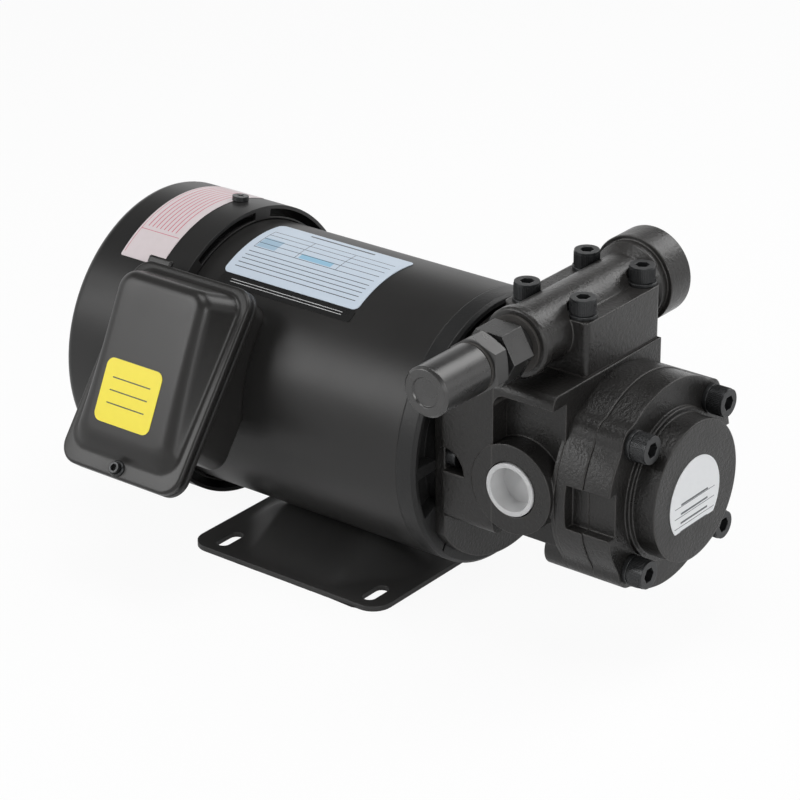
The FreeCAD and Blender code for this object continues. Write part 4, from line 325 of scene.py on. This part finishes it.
motorPlate = {"low": -0.0250, "high": 0.0555, "from": math.radians(-31.2), "to": math.radians(9.0),
              "corner": 0.003, "sheet": 0.0003, "lift": 0.00005}
motorPlateLook = {
    "sheet": (0.54, 0.62, 0.71, 1), "sheetWorn": (0.60, 0.67, 0.75, 1), "ink": (0.05, 0.06, 0.08, 1),
    "rough": (0.42, 0.50), "metal": 0.10,
    "rulings": [
        {"axis": "along", "start": 0.10, "end": 0.40, "count": 5, "share": 0.16, "span": (0.05, 0.95)},
        {"axis": "along", "start": 0.42, "end": 0.86, "count": 5, "share": 0.10, "span": (0.05, 0.95)},
        {"axis": "across", "start": 0.05, "end": 0.97, "count": 3, "share": 0.012, "span": (0.42, 0.78)},
        {"axis": "along", "start": 0.90, "end": 0.95, "count": 1, "share": 0.55, "span": (0.26, 0.74)},
    ],
    "tints": [
        {"across": (0.06, 0.20), "along": (0.44, 0.62), "colour": (0.36, 0.50, 0.62, 1)},
        {"across": (0.38, 0.62), "along": (0.44, 0.52), "colour": (0.30, 0.52, 0.68, 1)},
    ],
}
motorStrip = {"low": -0.0250, "high": 0.0545, "from": math.radians(-37.2), "to": math.radians(-31.4),
              "corner": 0.0015, "sheet": 0.0002, "lift": 0.00005}
motorStripLook = {
    "sheet": grey(0.008), "sheetWorn": grey(0.012), "ink": grey(0.55), "rough": (0.24, 0.32),
    "rulings": [{"axis": "along", "start": 0.36, "end": 0.80, "count": 2, "share": 0.22, "span": (0.08, 0.92)}],
}
coverSticker = {"low": 0.0832, "high": 0.1091, "from": math.radians(-40.3), "to": math.radians(24),
                "corner": 0.001, "sheet": 0.0002, "lift": 0.00005}
coverStickerLook = {
    "sheet": (0.62, 0.55, 0.56, 1), "sheetWorn": (0.68, 0.61, 0.62, 1), "ink": (0.55, 0.13, 0.18, 1),
    "rough": (0.32, 0.45),
    "rulings": [
        {"axis": "across", "start": 0.14, "end": 0.90, "count": 8, "share": 0.22, "span": (0.24, 0.92)},
        {"axis": "across", "start": 0.04, "end": 0.98, "count": 1, "share": 0.012, "span": (0.03, 0.97)},
        {"axis": "along", "start": 0.21, "end": 0.98, "count": 1, "share": 0.006, "span": (0.04, 0.96)},
    ],
}


def roundTube(radius, plate):
    def place(across, along, height):
        return aroundShaft(radius + plate["lift"] + height, plate["from"] + along / radius,
                           plate["high"] - across)
    return place


def addTubeLabel(name, plate, look, radius):
    length = (plate["to"] - plate["from"]) * radius
    mesh = labelMesh(name, plate["high"] - plate["low"], length, plate["corner"], roundTube(radius, plate),
                     plate["sheet"])
    meshObject(name, mesh, labelMaterial(name + "Sheet", look), "housing")


addTubeLabel("motorPlate", motorPlate, motorPlateLook, tubeRadius)
addTubeLabel("motorStrip", motorStrip, motorStripLook, tubeRadius)
addTubeLabel("coverSticker", coverSticker, coverStickerLook, coverRadius)

# The box cover's sloping face, in the terminal box's own directions

boxDirections = {"tilt": math.radians(37), "lean": math.atan2(0.0155, 0.0785), "low": -0.0725,
                 "height": 0.0878}
coverPatch = {"centre": -0.0542, "start": 0.0090, "width": 0.034, "length": 0.030, "corner": 0.004,
              "sheet": 0.0002, "lift": 0.00005}


def onCoverFace(across, up, height):
    tilt, lean = boxDirections["tilt"], boxDirections["lean"]
    along = boxDirections["low"] + up * math.cos(lean) - height * math.sin(lean)
    out = boxDirections["height"] + up * math.sin(lean) + height * math.cos(lean)
    return Vector((along * math.sin(tilt) - out * math.cos(tilt), -across,
                   shaftHeight + along * math.cos(tilt) + out * math.sin(tilt)))


def patchPlace(across, along, height):
    return onCoverFace(coverPatch["centre"] - coverPatch["width"] / 2 + across, coverPatch["start"] + along,
                       height + coverPatch["lift"])


def boxPlace(across, up, out):  # turns the terminal box's own directions into the scene's
    tilt = boxDirections["tilt"]
    side = Vector((0, -1, 0))
    along = Vector((math.sin(tilt), 0, math.cos(tilt)))
    outward = Vector((-math.cos(tilt), 0, math.sin(tilt)))
    origin = Vector((0, 0, shaftHeight)) + side * across + along * up + outward * out
    return Matrix.Translation(origin) @ Matrix((side, along, outward)).transposed().to_4x4()


# The pressed cover of the terminal box, with soft shoulders

pressedCover = {"low": (-0.0880, -0.0860), "high": (-0.0155, 0.0155), "corner": 0.010, "back": 0.0793,
                "rim": 0.0833, "rimRound": 0.0012, "domeLow": (-0.0835, -0.0775), "domeHigh": (-0.0200, 0.0110),
                "domeCorner": 0.009, "faceInset": 0.005, "footRound": 0.0018, "shoulder": 0.0058,
                "sheet": 0.0020, "rimSteps": 4, "footSteps": 4, "footShare": 0.3, "shoulderSteps": 8,
                "shoulderShare": 0.6, "faceShares": (0.25, 0.5, 0.75)}
coverHook = {"low": (-0.0830, 0.0145, 0.0793), "high": (-0.0690, 0.0185, 0.0818), "round": 0.0005}


def roundedOutline(low, high, inset, corner, height, arcSteps=8, sideSteps=6):
    radius = corner - inset
    left, right = low[0] + inset + radius, high[0] - inset - radius
    lower, upper = low[1] + inset + radius, high[1] - inset - radius
    points = []
    for number, (x, y) in enumerate(((right, upper), (left, upper), (left, lower), (right, lower))):
        for k in range(arcSteps + 1):
            angle = math.pi / 2 * (number + k / arcSteps)
            points.append(Vector((x + radius * math.cos(angle), y + radius * math.sin(angle), 0)))
    full = []
    for k, point in enumerate(points):
        full.append(point)
        if k % (arcSteps + 1) == arcSteps:  # straight side to the next corner
            following = points[(k + 1) % len(points)]
            full += [point.lerp(following, step / sideSteps) for step in range(1, sideSteps)]
    for point in full:
        point.z = height(point.y) if callable(height) else height
    return full


def bentRows(start, turn, end, steps):  # rows along a soft bend from one row to another
    shares = [k / steps for k in range(steps + 1)]
    return [[a * (1 - t) ** 2 + b * 2 * t * (1 - t) + c * t * t for a, b, c in zip(start, turn, end)]
            for t in shares]


def pressedCoverMesh(cover):
    low, high, corner = cover["low"], cover["high"], cover["corner"]
    domeLow, domeHigh, domeCorner = cover["domeLow"], cover["domeHigh"], cover["domeCorner"]
    faceLow = [value + cover["faceInset"] for value in domeLow]
    faceHigh = [value - cover["faceInset"] for value in domeHigh]

    def faceHeight(up):
        return boxDirections["height"] + (up - boxDirections["low"]) * math.tan(boxDirections["lean"])

    rows = [roundedOutline(low, high, 0, corner, cover["back"])]
    for k in range(cover["rimSteps"] + 1):
        angle = math.pi / 2 * k / cover["rimSteps"]
        inset = cover["rimRound"] * (1 - math.cos(angle))
        rows.append(roundedOutline(low, high, inset, corner,
                                   cover["rim"] - cover["rimRound"] * (1 - math.sin(angle))))
    foot = roundedOutline(domeLow, domeHigh, 0, domeCorner, cover["rim"])
    edge = roundedOutline(faceLow, faceHigh, 0, domeCorner, faceHeight)
    outside = roundedOutline(domeLow, domeHigh, -cover["footRound"], domeCorner, cover["rim"])
    wallStart = [a.lerp(b, min(cover["footShare"], cover["footRound"] / (b - a).length))
                 for a, b in zip(foot, edge)]
    wallEnd = [b.lerp(a, min(cover["shoulderShare"], cover["shoulder"] / (b - a).length))
               for a, b in zip(foot, edge)]
    inside = roundedOutline(faceLow, faceHigh, cover["shoulder"], domeCorner, faceHeight)
    rows += bentRows(outside, foot, wallStart, cover["footSteps"])
    rows += bentRows(wallEnd, edge, inside, cover["shoulderSteps"])
    centre = sum(inside, Vector((0, 0, 0))) / len(inside)
    centre.z = faceHeight(centre.y)
    rows += [[point.lerp(centre, share) for point in inside] for share in cover["faceShares"]]
    mesh = bmesh.new()
    rings = [[mesh.verts.new(point) for point in row] for row in rows]
    for first, second in zip(rings, rings[1:]):
        for k in range(len(first)):
            after = (k + 1) % len(first)
            mesh.faces.new((first[k], first[after], second[after], second[k]))
    middle = mesh.verts.new(centre)
    for k in range(len(rings[-1])):
        mesh.faces.new((rings[-1][k], rings[-1][(k + 1) % len(rings[-1])], middle))
    for face in mesh.faces:
        face.smooth = True
    return keepMesh("pressedCover", mesh)


def hookMesh(hook):
    mesh = bmesh.new()
    bmesh.ops.create_cube(mesh, size=1)
    size = [b - a for a, b in zip(hook["low"], hook["high"])]
    for vert in mesh.verts:
        vert.co = Vector([a + (c + 0.5) * wide for a, c, wide in zip(hook["low"], vert.co, size)])
    bmesh.ops.bevel(mesh, geom=mesh.edges[:], offset=hook["round"], segments=2, affect="EDGES")
    return keepMesh("coverHook", mesh)


coverMesh = pressedCoverMesh(pressedCover)
coverMesh.transform(boxPlace(0, 0, 0))
coverPiece = meshObject("pressedCover", coverMesh, surfaces["boxPaint"], "housing")
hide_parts("terminal_box_cover")
wall = coverPiece.modifiers.new("wall", "SOLIDIFY")
wall.thickness = pressedCover["sheet"]
wall.offset = -1
hookData = hookMesh(coverHook)
hookData.transform(boxPlace(0, 0, 0))
meshObject("coverHook", hookData, surfaces["boxPaint"], "housing")
print("terminal box cover pressed")

# The pressed foot: one sheet whose folds are soft, with its four slots

pressedFoot = {"long": 0.116, "wide": 0.122, "shift": 0.0015, "sheet": 0.0026, "corner": 0.010, "under": 0.0653,
               "midKnee": 0.054, "midSeat": 0.024, "midHalf": 0.0255, "endKnee": 0.026, "endSeat": 0.010,
               "blend": 0.0245, "lift": 0.0002, "grid": 0.002, "clear": 0.0012, "merge": 1e-7,
               "soft": 0.0022, "softSteps": 2, "sideSteps": 40, "rimAngle": math.radians(45),
               "slots": {"across": 0.0475, "along": 0.045, "long": 0.016, "wide": 0.007}}


def footHeight(foot, x, y):  # top of the sheet before its folds are softened
    away = abs(y) - foot["midHalf"]
    t = min(max(away / foot["blend"], 0), 1)
    if away >= foot["blend"]:
        return foot["sheet"]
    under = foot["under"]

    def arcMid(place):
        return shaftHeight - math.sqrt(under ** 2 - place ** 2)

    def arcEnd(place):
        return foot["sheet"] + foot["lift"] + under - math.sqrt(under ** 2 - place ** 2)

    seat = foot["midSeat"] * (1 - t) + foot["endSeat"] * t
    knee = foot["midKnee"] * (1 - t) + foot["endKnee"] * t
    share = min(abs(x) / seat, 1)
    crest = arcMid(foot["midSeat"] * share) * (1 - t) + arcEnd(foot["endSeat"] * share) * t
    if abs(x) <= seat:
        return crest
    if abs(x) >= knee:
        return foot["sheet"]
    return crest + (foot["sheet"] - crest) * (abs(x) - seat) / (knee - seat)


def softHeight(foot, x, y):  # the same with each point averaged over its surroundings
    total = weights = 0
    steps = range(-foot["softSteps"], foot["softSteps"] + 1)
    for i in steps:
        for j in steps:
            weight = math.exp(-(i * i + j * j) / 2)
            total += weight * footHeight(foot, x + i * foot["soft"], y + j * foot["soft"])
            weights += weight
    return total / weights


def slotOutline(x, y, slot, steps=10):  # long side across the shaft
    half, radius = (slot["long"] - slot["wide"]) / 2, slot["wide"] / 2
    points = []
    for side, start in ((1, -math.pi / 2), (-1, math.pi / 2)):
        for k in range(steps + 1):
            angle = start + math.pi * k / steps
            points.append(Vector((x + side * half + radius * math.cos(angle),
                                  y + radius * math.sin(angle))))
    return points


def inSlot(point, x, y, slot, spare=0.0):
    half = (slot["long"] - slot["wide"]) / 2
    nearest = min(max(point.x, x - half), x + half)
    return math.hypot(point.x - nearest, point.y - y) < slot["wide"] / 2 + spare


def footMesh(foot):
    low, high = (-foot["wide"] / 2, -foot["long"] / 2), (foot["wide"] / 2, foot["long"] / 2)
    outline = [point.to_2d()
               for point in roundedOutline(low, high, 0, foot["corner"], 0.0, sideSteps=foot["sideSteps"])]
    slot = foot["slots"]
    places = [(slot["across"] * a, slot["along"] * b - foot["shift"]) for a in (-1, 1) for b in (-1, 1)]
    loops = [outline] + [slotOutline(x, y, slot) for x, y in places]
    points, edges = [], []
    for loop in loops:
        first = len(points)
        points += loop
        edges += [(first + k, first + (k + 1) % len(loop)) for k in range(len(loop))]
    clear, step = foot["clear"], foot["grid"]
    columns, rows = int(foot["wide"] / step), int(foot["long"] / step)
    for i in range(1, columns):
        for j in range(1, rows):
            spot = Vector((low[0] + i * step, low[1] + j * step))
            corner = Vector((max(abs(spot.x) - high[0] + foot["corner"], 0),
                             max(abs(spot.y) - high[1] + foot["corner"], 0)))
            nearSlot = any(inSlot(spot, x, y, slot, clear) for x, y in places)
            if corner.length <= foot["corner"] - clear and not nearSlot:
                points.append(spot)
    verts, _, faces, _, _, _ = delaunay_2d_cdt(points, edges, [], 0, foot["merge"])
    mesh = bmesh.new()
    made = [mesh.verts.new((v.x, v.y + foot["shift"], softHeight(foot, v.x, v.y))) for v in verts]
    for corners in faces:
        middle = sum((verts[k] for k in corners), Vector((0, 0))) / len(corners)
        if not any(inSlot(middle, x, y, slot) for x, y in places):
            mesh.faces.new([made[k] for k in corners]).smooth = True
    mesh.normal_update()
    if sum(face.normal.z for face in mesh.faces) < 0:
        bmesh.ops.reverse_faces(mesh, faces=mesh.faces)
    return keepMesh("pressedFoot", mesh)


footPiece = meshObject("pressedFoot", footMesh(pressedFoot), surfaces["footPaintWithSheen"], "housing")
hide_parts("mounting_foot")
sheet = footPiece.modifiers.new("sheet", "SOLIDIFY")
sheet.thickness = pressedFoot["sheet"]
sheet.offset = -1
rimSplit = footPiece.modifiers.new("rimEdges", "EDGE_SPLIT")
rimSplit.split_angle = pressedFoot["rimAngle"]
print("foot pressed")

# The plain sheet on the box cover

coverPatchLook = {
    "sheet": (0.86, 0.72, 0.03, 1), "sheetWorn": (0.90, 0.76, 0.04, 1), "ink": (0.03, 0.03, 0.02, 1),
    "rough": (0.30, 0.42),
    "rulings": [{"axis": "along", "start": 0.30, "end": 0.90, "count": 3, "share": 0.10, "span": (0.16, 0.84)}],
}
patchMesh = labelMesh("coverPatch", coverPatch["width"], coverPatch["length"], coverPatch["corner"], patchPlace,
                      coverPatch["sheet"])
meshObject("coverPatch", patchMesh, labelMaterial("coverPatchSheet", coverPatchLook), "housing")

# The round plate on the pump's end boss, with a straight lower edge

endPlate = {"x": -0.0008, "z": 0.0770, "y": -0.1884, "radius": 0.0198, "chord": 0.0125, "sheet": 0.0003,
            "lift": 0.00005, "steps": 64}
endPlateLook = {
    "sheet": (0.86, 0.87, 0.88, 1), "sheetWorn": (0.92, 0.93, 0.94, 1), "ink": (0.10, 0.11, 0.12, 1),
    "rough": (0.36, 0.46), "metal": 0.10,
    "rulings": [
        {"axis": "along", "start": 0.12, "end": 0.62, "count": 4, "share": 0.07, "span": (0.10, 0.90)},
        {"axis": "along", "start": 0.17, "end": 0.62, "count": 4, "share": 0.22, "span": (0.22, 0.76)},
    ],
}


def endPlateMesh(plate):
    mesh = bmesh.new()
    uv = mesh.loops.layers.uv.new("label")
    half = math.acos(plate["chord"] / plate["radius"])
    first, last = -math.pi / 2 + half, 1.5 * math.pi - half
    corners = [first + (last - first) * k / plate["steps"] for k in range(plate["steps"] + 1)]
    flat = [(plate["radius"] * math.cos(a), plate["radius"] * math.sin(a)) for a in corners]
    front, back = [
        [mesh.verts.new((plate["x"] + x, plate["y"] - plate["lift"] - depth, plate["z"] + z))
         for x, z in flat]
        for depth in (plate["sheet"], 0)
    ]
    mesh.faces.new(front)
    mesh.faces.new(back[::-1])
    for k in range(len(flat)):
        nextOne = (k + 1) % len(flat)
        mesh.faces.new((front[nextOne], front[k], back[k], back[nextOne]))
    bmesh.ops.recalc_face_normals(mesh, faces=mesh.faces)
    for face in mesh.faces:
        for loop in face.loops:
            spot = loop.vert.co
            loop[uv].uv = ((spot.x - plate["x"]) / plate["radius"] / 2 + 0.5,
                           (spot.z - plate["z"]) / plate["radius"] / 2 + 0.5)
    return keepMesh("endPlate", mesh)


meshObject("endPlate", endPlateMesh(endPlate), labelMaterial("endPlateSheet", endPlateLook), "housing")
print("labels added")


# Small repeated pieces grown by Geometry Nodes and kept as plain meshes

def startGrowth(name, sockets):
    tree = bpy.data.node_groups.new(name, "GeometryNodeTree")
    for label, kind in sockets.items():
        tree.interface.new_socket(label, in_out="INPUT", socket_type=kind)
    tree.interface.new_socket("Geometry", in_out="OUTPUT", socket_type="NodeSocketGeometry")
    return tree, addNode(tree, "NodeGroupInput").outputs


def finishGrowth(tree, geometry, material):
    real = addNode(tree, "GeometryNodeRealizeInstances", {"Geometry": geometry})
    painted = addNode(tree, "GeometryNodeSetMaterial", {"Geometry": real.outputs[0], "Material": material})
    addNode(tree, "NodeGroupOutput", {"Geometry": painted.outputs[0]})


def growMesh(name, tree, values, base):
    grower = bpy.data.objects.new(name + "Grower", base)
    bpy.context.scene.collection.objects.link(grower)
    modifier = grower.modifiers.new("growth", "NODES")
    modifier.node_group = tree
    for item in tree.interface.items_tree:
        if item.in_out == "INPUT" and item.name in values:
            modifier[item.identifier] = values[item.name]
    grown = bpy.data.meshes.new_from_object(grower.evaluated_get(bpy.context.evaluated_depsgraph_get()))
    bpy.data.objects.remove(grower)
    grown.name = name
    return grown


portThread = {"face": 0.0604, "rise": 0.0145, "turns": 8.0, "radius": 0.01325, "ridge": 0.00085,
              "segments": 72, "y": -0.1235, "z": 0.150}


def threadTree(segments):  # one helical ridge with a triangular section, rising along Z
    tree, given = startGrowth("threadRidge", {"Geometry": "NodeSocketGeometry", "Turns": "NodeSocketFloat",
                                              "Rise": "NodeSocketFloat", "Radius": "NodeSocketFloat",
                                              "Ridge": "NodeSocketFloat", "Material": "NodeSocketMaterial"})
    path = addNode(tree, "GeometryNodeCurveSpiral",
                   {"Resolution": segments, "Rotations": given["Turns"], "Start Radius": given["Radius"],
                    "End Radius": given["Radius"], "Height": given["Rise"]})
    upright = addNode(tree, "GeometryNodeSetCurveNormal", {"Curve": path.outputs[0]}, mode="Z_UP")
    section = addNode(tree, "GeometryNodeCurvePrimitiveCircle", {"Resolution": 3, "Radius": given["Ridge"]})
    ridge = addNode(tree, "GeometryNodeCurveToMesh", {"Curve": upright.outputs[0],
                                                      "Profile Curve": section.outputs[0], "Fill Caps": True})
    finishGrowth(tree, ridge.outputs[0], given["Material"])
    return tree


def knurlTree():  # fine ridges round each head; the base mesh gives the heads' centres
    tree, given = startGrowth("headKnurl", {"Geometry": "NodeSocketGeometry", "Ridges": "NodeSocketInt",
                                            "Radius": "NodeSocketFloat", "Length": "NodeSocketFloat",
                                            "Ridge": "NodeSocketFloat", "Turn": "NodeSocketRotation",
                                            "Material": "NodeSocketMaterial"})
    bar = addNode(tree, "GeometryNodeMeshCylinder", {"Vertices": 3, "Radius": given["Ridge"],
                                                     "Depth": given["Length"]})
    ring = addNode(tree, "GeometryNodeMeshCircle", {"Vertices": given["Ridges"], "Radius": given["Radius"]})
    outward = addNode(tree, "FunctionNodeAlignRotationToVector",
                      {"Vector": addNode(tree, "GeometryNodeInputPosition").outputs[0]}, axis="X")
    ridges = addNode(tree, "GeometryNodeInstanceOnPoints",
                     {"Points": ring.outputs[0], "Instance": bar.outputs[0], "Rotation": outward.outputs[0]})
    heads = addNode(tree, "GeometryNodeInstanceOnPoints",
                    {"Points": given["Geometry"], "Instance": ridges.outputs[0], "Rotation": given["Turn"]})
    finishGrowth(tree, heads.outputs[0], given["Material"])
    return tree


threadMesh = growMesh("outletThread", threadTree(portThread["segments"]),
                      {"Turns": portThread["turns"], "Rise": portThread["rise"], "Radius": portThread["radius"],
                       "Ridge": portThread["ridge"], "Material": surfaces["blackSteel"]},
                      bpy.data.meshes.new("threadBase"))
threadStart = (portThread["face"] - portThread["rise"], portThread["y"], portThread["z"])
threadMesh.transform(Matrix.Translation(threadStart) @ Matrix.Rotation(math.pi / 2, 4, "Y"))
meshObject("outletThread", threadMesh, surfaces["blackSteel"], "housing")

casingPitch = 0.03033
knurls = {
    "casingHeads": {"centres": [(x, -0.1809, shaftHeight + z) for x in (-casingPitch, casingPitch)
                                for z in (-casingPitch, casingPitch)],
                    "radius": 0.0065, "length": 0.0062, "ridges": 54, "ridge": 0.00024,
                    "turn": (math.pi / 2, 0, 0)},
    "valveHeads": {"centres": [(x, y, 0.1621) for x in (-0.0174, 0.0286) for y in (-0.1385, -0.1085)],
                   "radius": 0.0058, "length": 0.0058, "ridges": 48, "ridge": 0.00024, "turn": (0, 0, 0)},
}
knurler = knurlTree()
for name, heads in knurls.items():
    centres = bpy.data.meshes.new(name + "Centres")
    centres.from_pydata(heads["centres"], [], [])
    values = {key.capitalize(): heads[key] for key in ("ridges", "radius", "length", "ridge", "turn")}
    knurlMesh = growMesh(name, knurler, {**values, "Material": surfaces["blackScrew"]}, centres)
    meshObject(name, knurlMesh, surfaces["blackScrew"], "housing")


# The cup washer round the box cover's screw

coverWasher = {"across": -0.05175, "up": -0.0816, "out": 0.0833, "steps": 48,
               "outline": [(0.0029, 0.00005), (0.0040, 0.00005), (0.0040, 0.0005), (0.0036, 0.0010),
                           (0.0031, 0.0012), (0.0029, 0.0010)]}


def turnedMesh(name, outline, steps):  # outline gives (radius, height) once round
    mesh = bmesh.new()
    rings = []
    for k in range(steps):
        angle = 2 * math.pi * k / steps
        rings.append([mesh.verts.new((r * math.cos(angle), r * math.sin(angle), h)) for r, h in outline])
    for k, ring in enumerate(rings):
        following = rings[(k + 1) % steps]
        for i in range(len(outline)):
            j = (i + 1) % len(outline)
            mesh.faces.new((ring[i], following[i], following[j], ring[j]))
    bmesh.ops.recalc_face_normals(mesh, faces=mesh.faces)
    return keepMesh(name, mesh)


washerMesh = turnedMesh("coverWasher", coverWasher["outline"], coverWasher["steps"])
washerMesh.transform(boxPlace(coverWasher["across"], coverWasher["up"], coverWasher["out"]))
meshObject("coverWasher", washerMesh, surfaces["blackScrew"], "housing")
print("thread, knurls and washer added")


# The camera as fitted to the photograph

cameraView = {"target": (-0.000213, -0.023207, 0.078095), "azimuth": -51.708, "elevation": 24.831,
              "roll": -0.536, "distance": 1.42028, "focalPixels": 3012.86, "imagePixels": 800, "sensor": 36,
              "nearest": 0.05, "farthest": 20}


def addCamera(view):
    azimuth, elevation, roll = (math.radians(view[key]) for key in ("azimuth", "elevation", "roll"))
    back = Vector((math.sin(azimuth) * math.cos(elevation), -math.cos(azimuth) * math.cos(elevation),
                   math.sin(elevation)))
    level = Vector((math.cos(azimuth), math.sin(azimuth), 0))
    upright = back.cross(level)
    right = level * math.cos(roll) + upright * math.sin(roll)
    up = upright * math.cos(roll) - level * math.sin(roll)
    data = bpy.data.cameras.new("photoCamera")
    data.sensor_width = view["sensor"]
    data.lens = view["focalPixels"] / view["imagePixels"] * view["sensor"]
    data.clip_start = view["nearest"]
    data.clip_end = view["farthest"]
    camera = bpy.data.objects.new("photoCamera", data)
    turn = Matrix((right, up, back)).transposed().to_4x4()
    camera.matrix_world = Matrix.Translation(Vector(view["target"]) + back * view["distance"]) @ turn
    bpy.context.scene.collection.objects.link(camera)
    bpy.context.scene.camera = camera


addCamera(cameraView)

# Softboxes that show as soft streaks on the tube, the box cover and the valve

softboxes = {
    "top": {"at": (-0.10, -0.10, 1.10), "size": (0.6, 0.6), "power": 4.5},
    "left": {"at": (-0.95, 0.70, 0.72), "size": (0.7, 0.6), "power": 6.5},
    "front": {"at": (-0.55, -1.10, 0.60), "size": (0.5, 0.5), "power": 3.5},
    "right": {"at": (0.95, -0.35, 0.90), "size": (0.7, 0.7), "power": 5.5},
}


softboxAim = Vector((0, -0.02, 0.08))


def addSoftbox(name, box):
    data = bpy.data.lights.new(name, "AREA")
    data.shape = "RECTANGLE"
    data.size, data.size_y = box["size"]
    data.energy = box["power"]
    light = bpy.data.objects.new(name, data)
    light.location = box["at"]
    light.rotation_euler = (softboxAim - Vector(box["at"])).to_track_quat("-Z", "Y").to_euler()
    bpy.context.scene.collection.objects.link(light)


for name, box in softboxes.items():
    addSoftbox(name, box)


# A white floor and world; mirror rays see both dimmer, so the black paint stays black

studio = {"floorSize": 6.0, "floorWhite": 0.90, "floorRough": 0.9, "floorDrop": 0.0002, "worldLevel": 0.22,
          "worldTint": (0.95, 0.97, 1, 1), "cameraShare": 0.93, "mirrorShare": 0.30, "whiteUpTo": 0.20,
          "dimFrom": 0.60, "overhead": 0.15}


def backgroundShare(tree, camera, mirror):  # one share for camera rays, one for glossy and clear ones
    path = addNode(tree, "ShaderNodeLightPath")
    either = addNode(tree, "ShaderNodeMath", {0: path.outputs["Is Glossy Ray"],
                                              1: path.outputs["Is Transmission Ray"]}, operation="MAXIMUM")
    mirrored = addNode(tree, "ShaderNodeMath", {0: either.outputs[0], 1: mirror}, operation="MULTIPLY")
    direct = addNode(tree, "ShaderNodeMath", {0: path.outputs["Is Camera Ray"], 1: camera},
                     operation="MULTIPLY")
    return addNode(tree, "ShaderNodeMath", {0: direct.outputs[0], 1: mirrored.outputs[0]},
                   operation="MAXIMUM").outputs[0]


def addWorld(levels):
    world = bpy.data.worlds.new("studio")
    world.use_nodes = True
    tree = world.node_tree
    tree.nodes.clear()
    direction = addNode(tree, "ShaderNodeTexCoord").outputs["Generated"]
    height = addNode(tree, "ShaderNodeSeparateXYZ", {"Vector": direction}).outputs[2]
    tone = addNode(tree, "ShaderNodeMapRange",
                   {"Value": height, "From Min": levels["whiteUpTo"], "From Max": levels["dimFrom"],
                    "To Min": 1.0, "To Max": levels["overhead"]}, interpolation_type="SMOOTHSTEP")
    seen = addNode(tree, "ShaderNodeBackground", {"Color": (1, 1, 1, 1), "Strength": tone.outputs[0]})
    lit = addNode(tree, "ShaderNodeBackground",
                  {"Color": levels["worldTint"], "Strength": levels["worldLevel"]})
    mix = addNode(tree, "ShaderNodeMixShader", {0: backgroundShare(tree, 1.0, 1.0), 1: lit.outputs[0],
                                                2: seen.outputs[0]})
    output = addNode(tree, "ShaderNodeOutputWorld")
    tree.links.new(mix.outputs[0], output.inputs["Surface"])
    bpy.context.scene.world = world


def addFloor(levels):
    material, tree = startMaterial("paleFloor")
    matte = addNode(tree, "ShaderNodeBsdfPrincipled",
                    {"Base Color": grey(levels["floorWhite"]), "Roughness": levels["floorRough"]})
    glow = addNode(tree, "ShaderNodeEmission", {"Color": (1, 1, 1, 1), "Strength": 1.0})
    mix = addNode(tree, "ShaderNodeMixShader", {0: backgroundShare(tree, levels["cameraShare"],
                                                                   levels["mirrorShare"]),
                                                1: matte.outputs[0], 2: glow.outputs[0]})
    finishMaterial(tree, mix)
    half = levels["floorSize"] / 2
    mesh = bpy.data.meshes.new("paleFloor")
    corners = [(-half, -half, 0), (half, -half, 0), (half, half, 0), (-half, half, 0)]
    mesh.from_pydata(corners, [], [(0, 1, 2, 3)])
    floor = bpy.data.objects.new("paleFloor", mesh)
    mesh.materials.append(material)
    bpy.context.scene.collection.objects.link(floor)
    floor.location.z = -levels["floorDrop"]


addWorld(studio)
addFloor(studio)
bpy.context.scene.view_settings.view_transform = "Standard"
print("camera, lights and floor added")
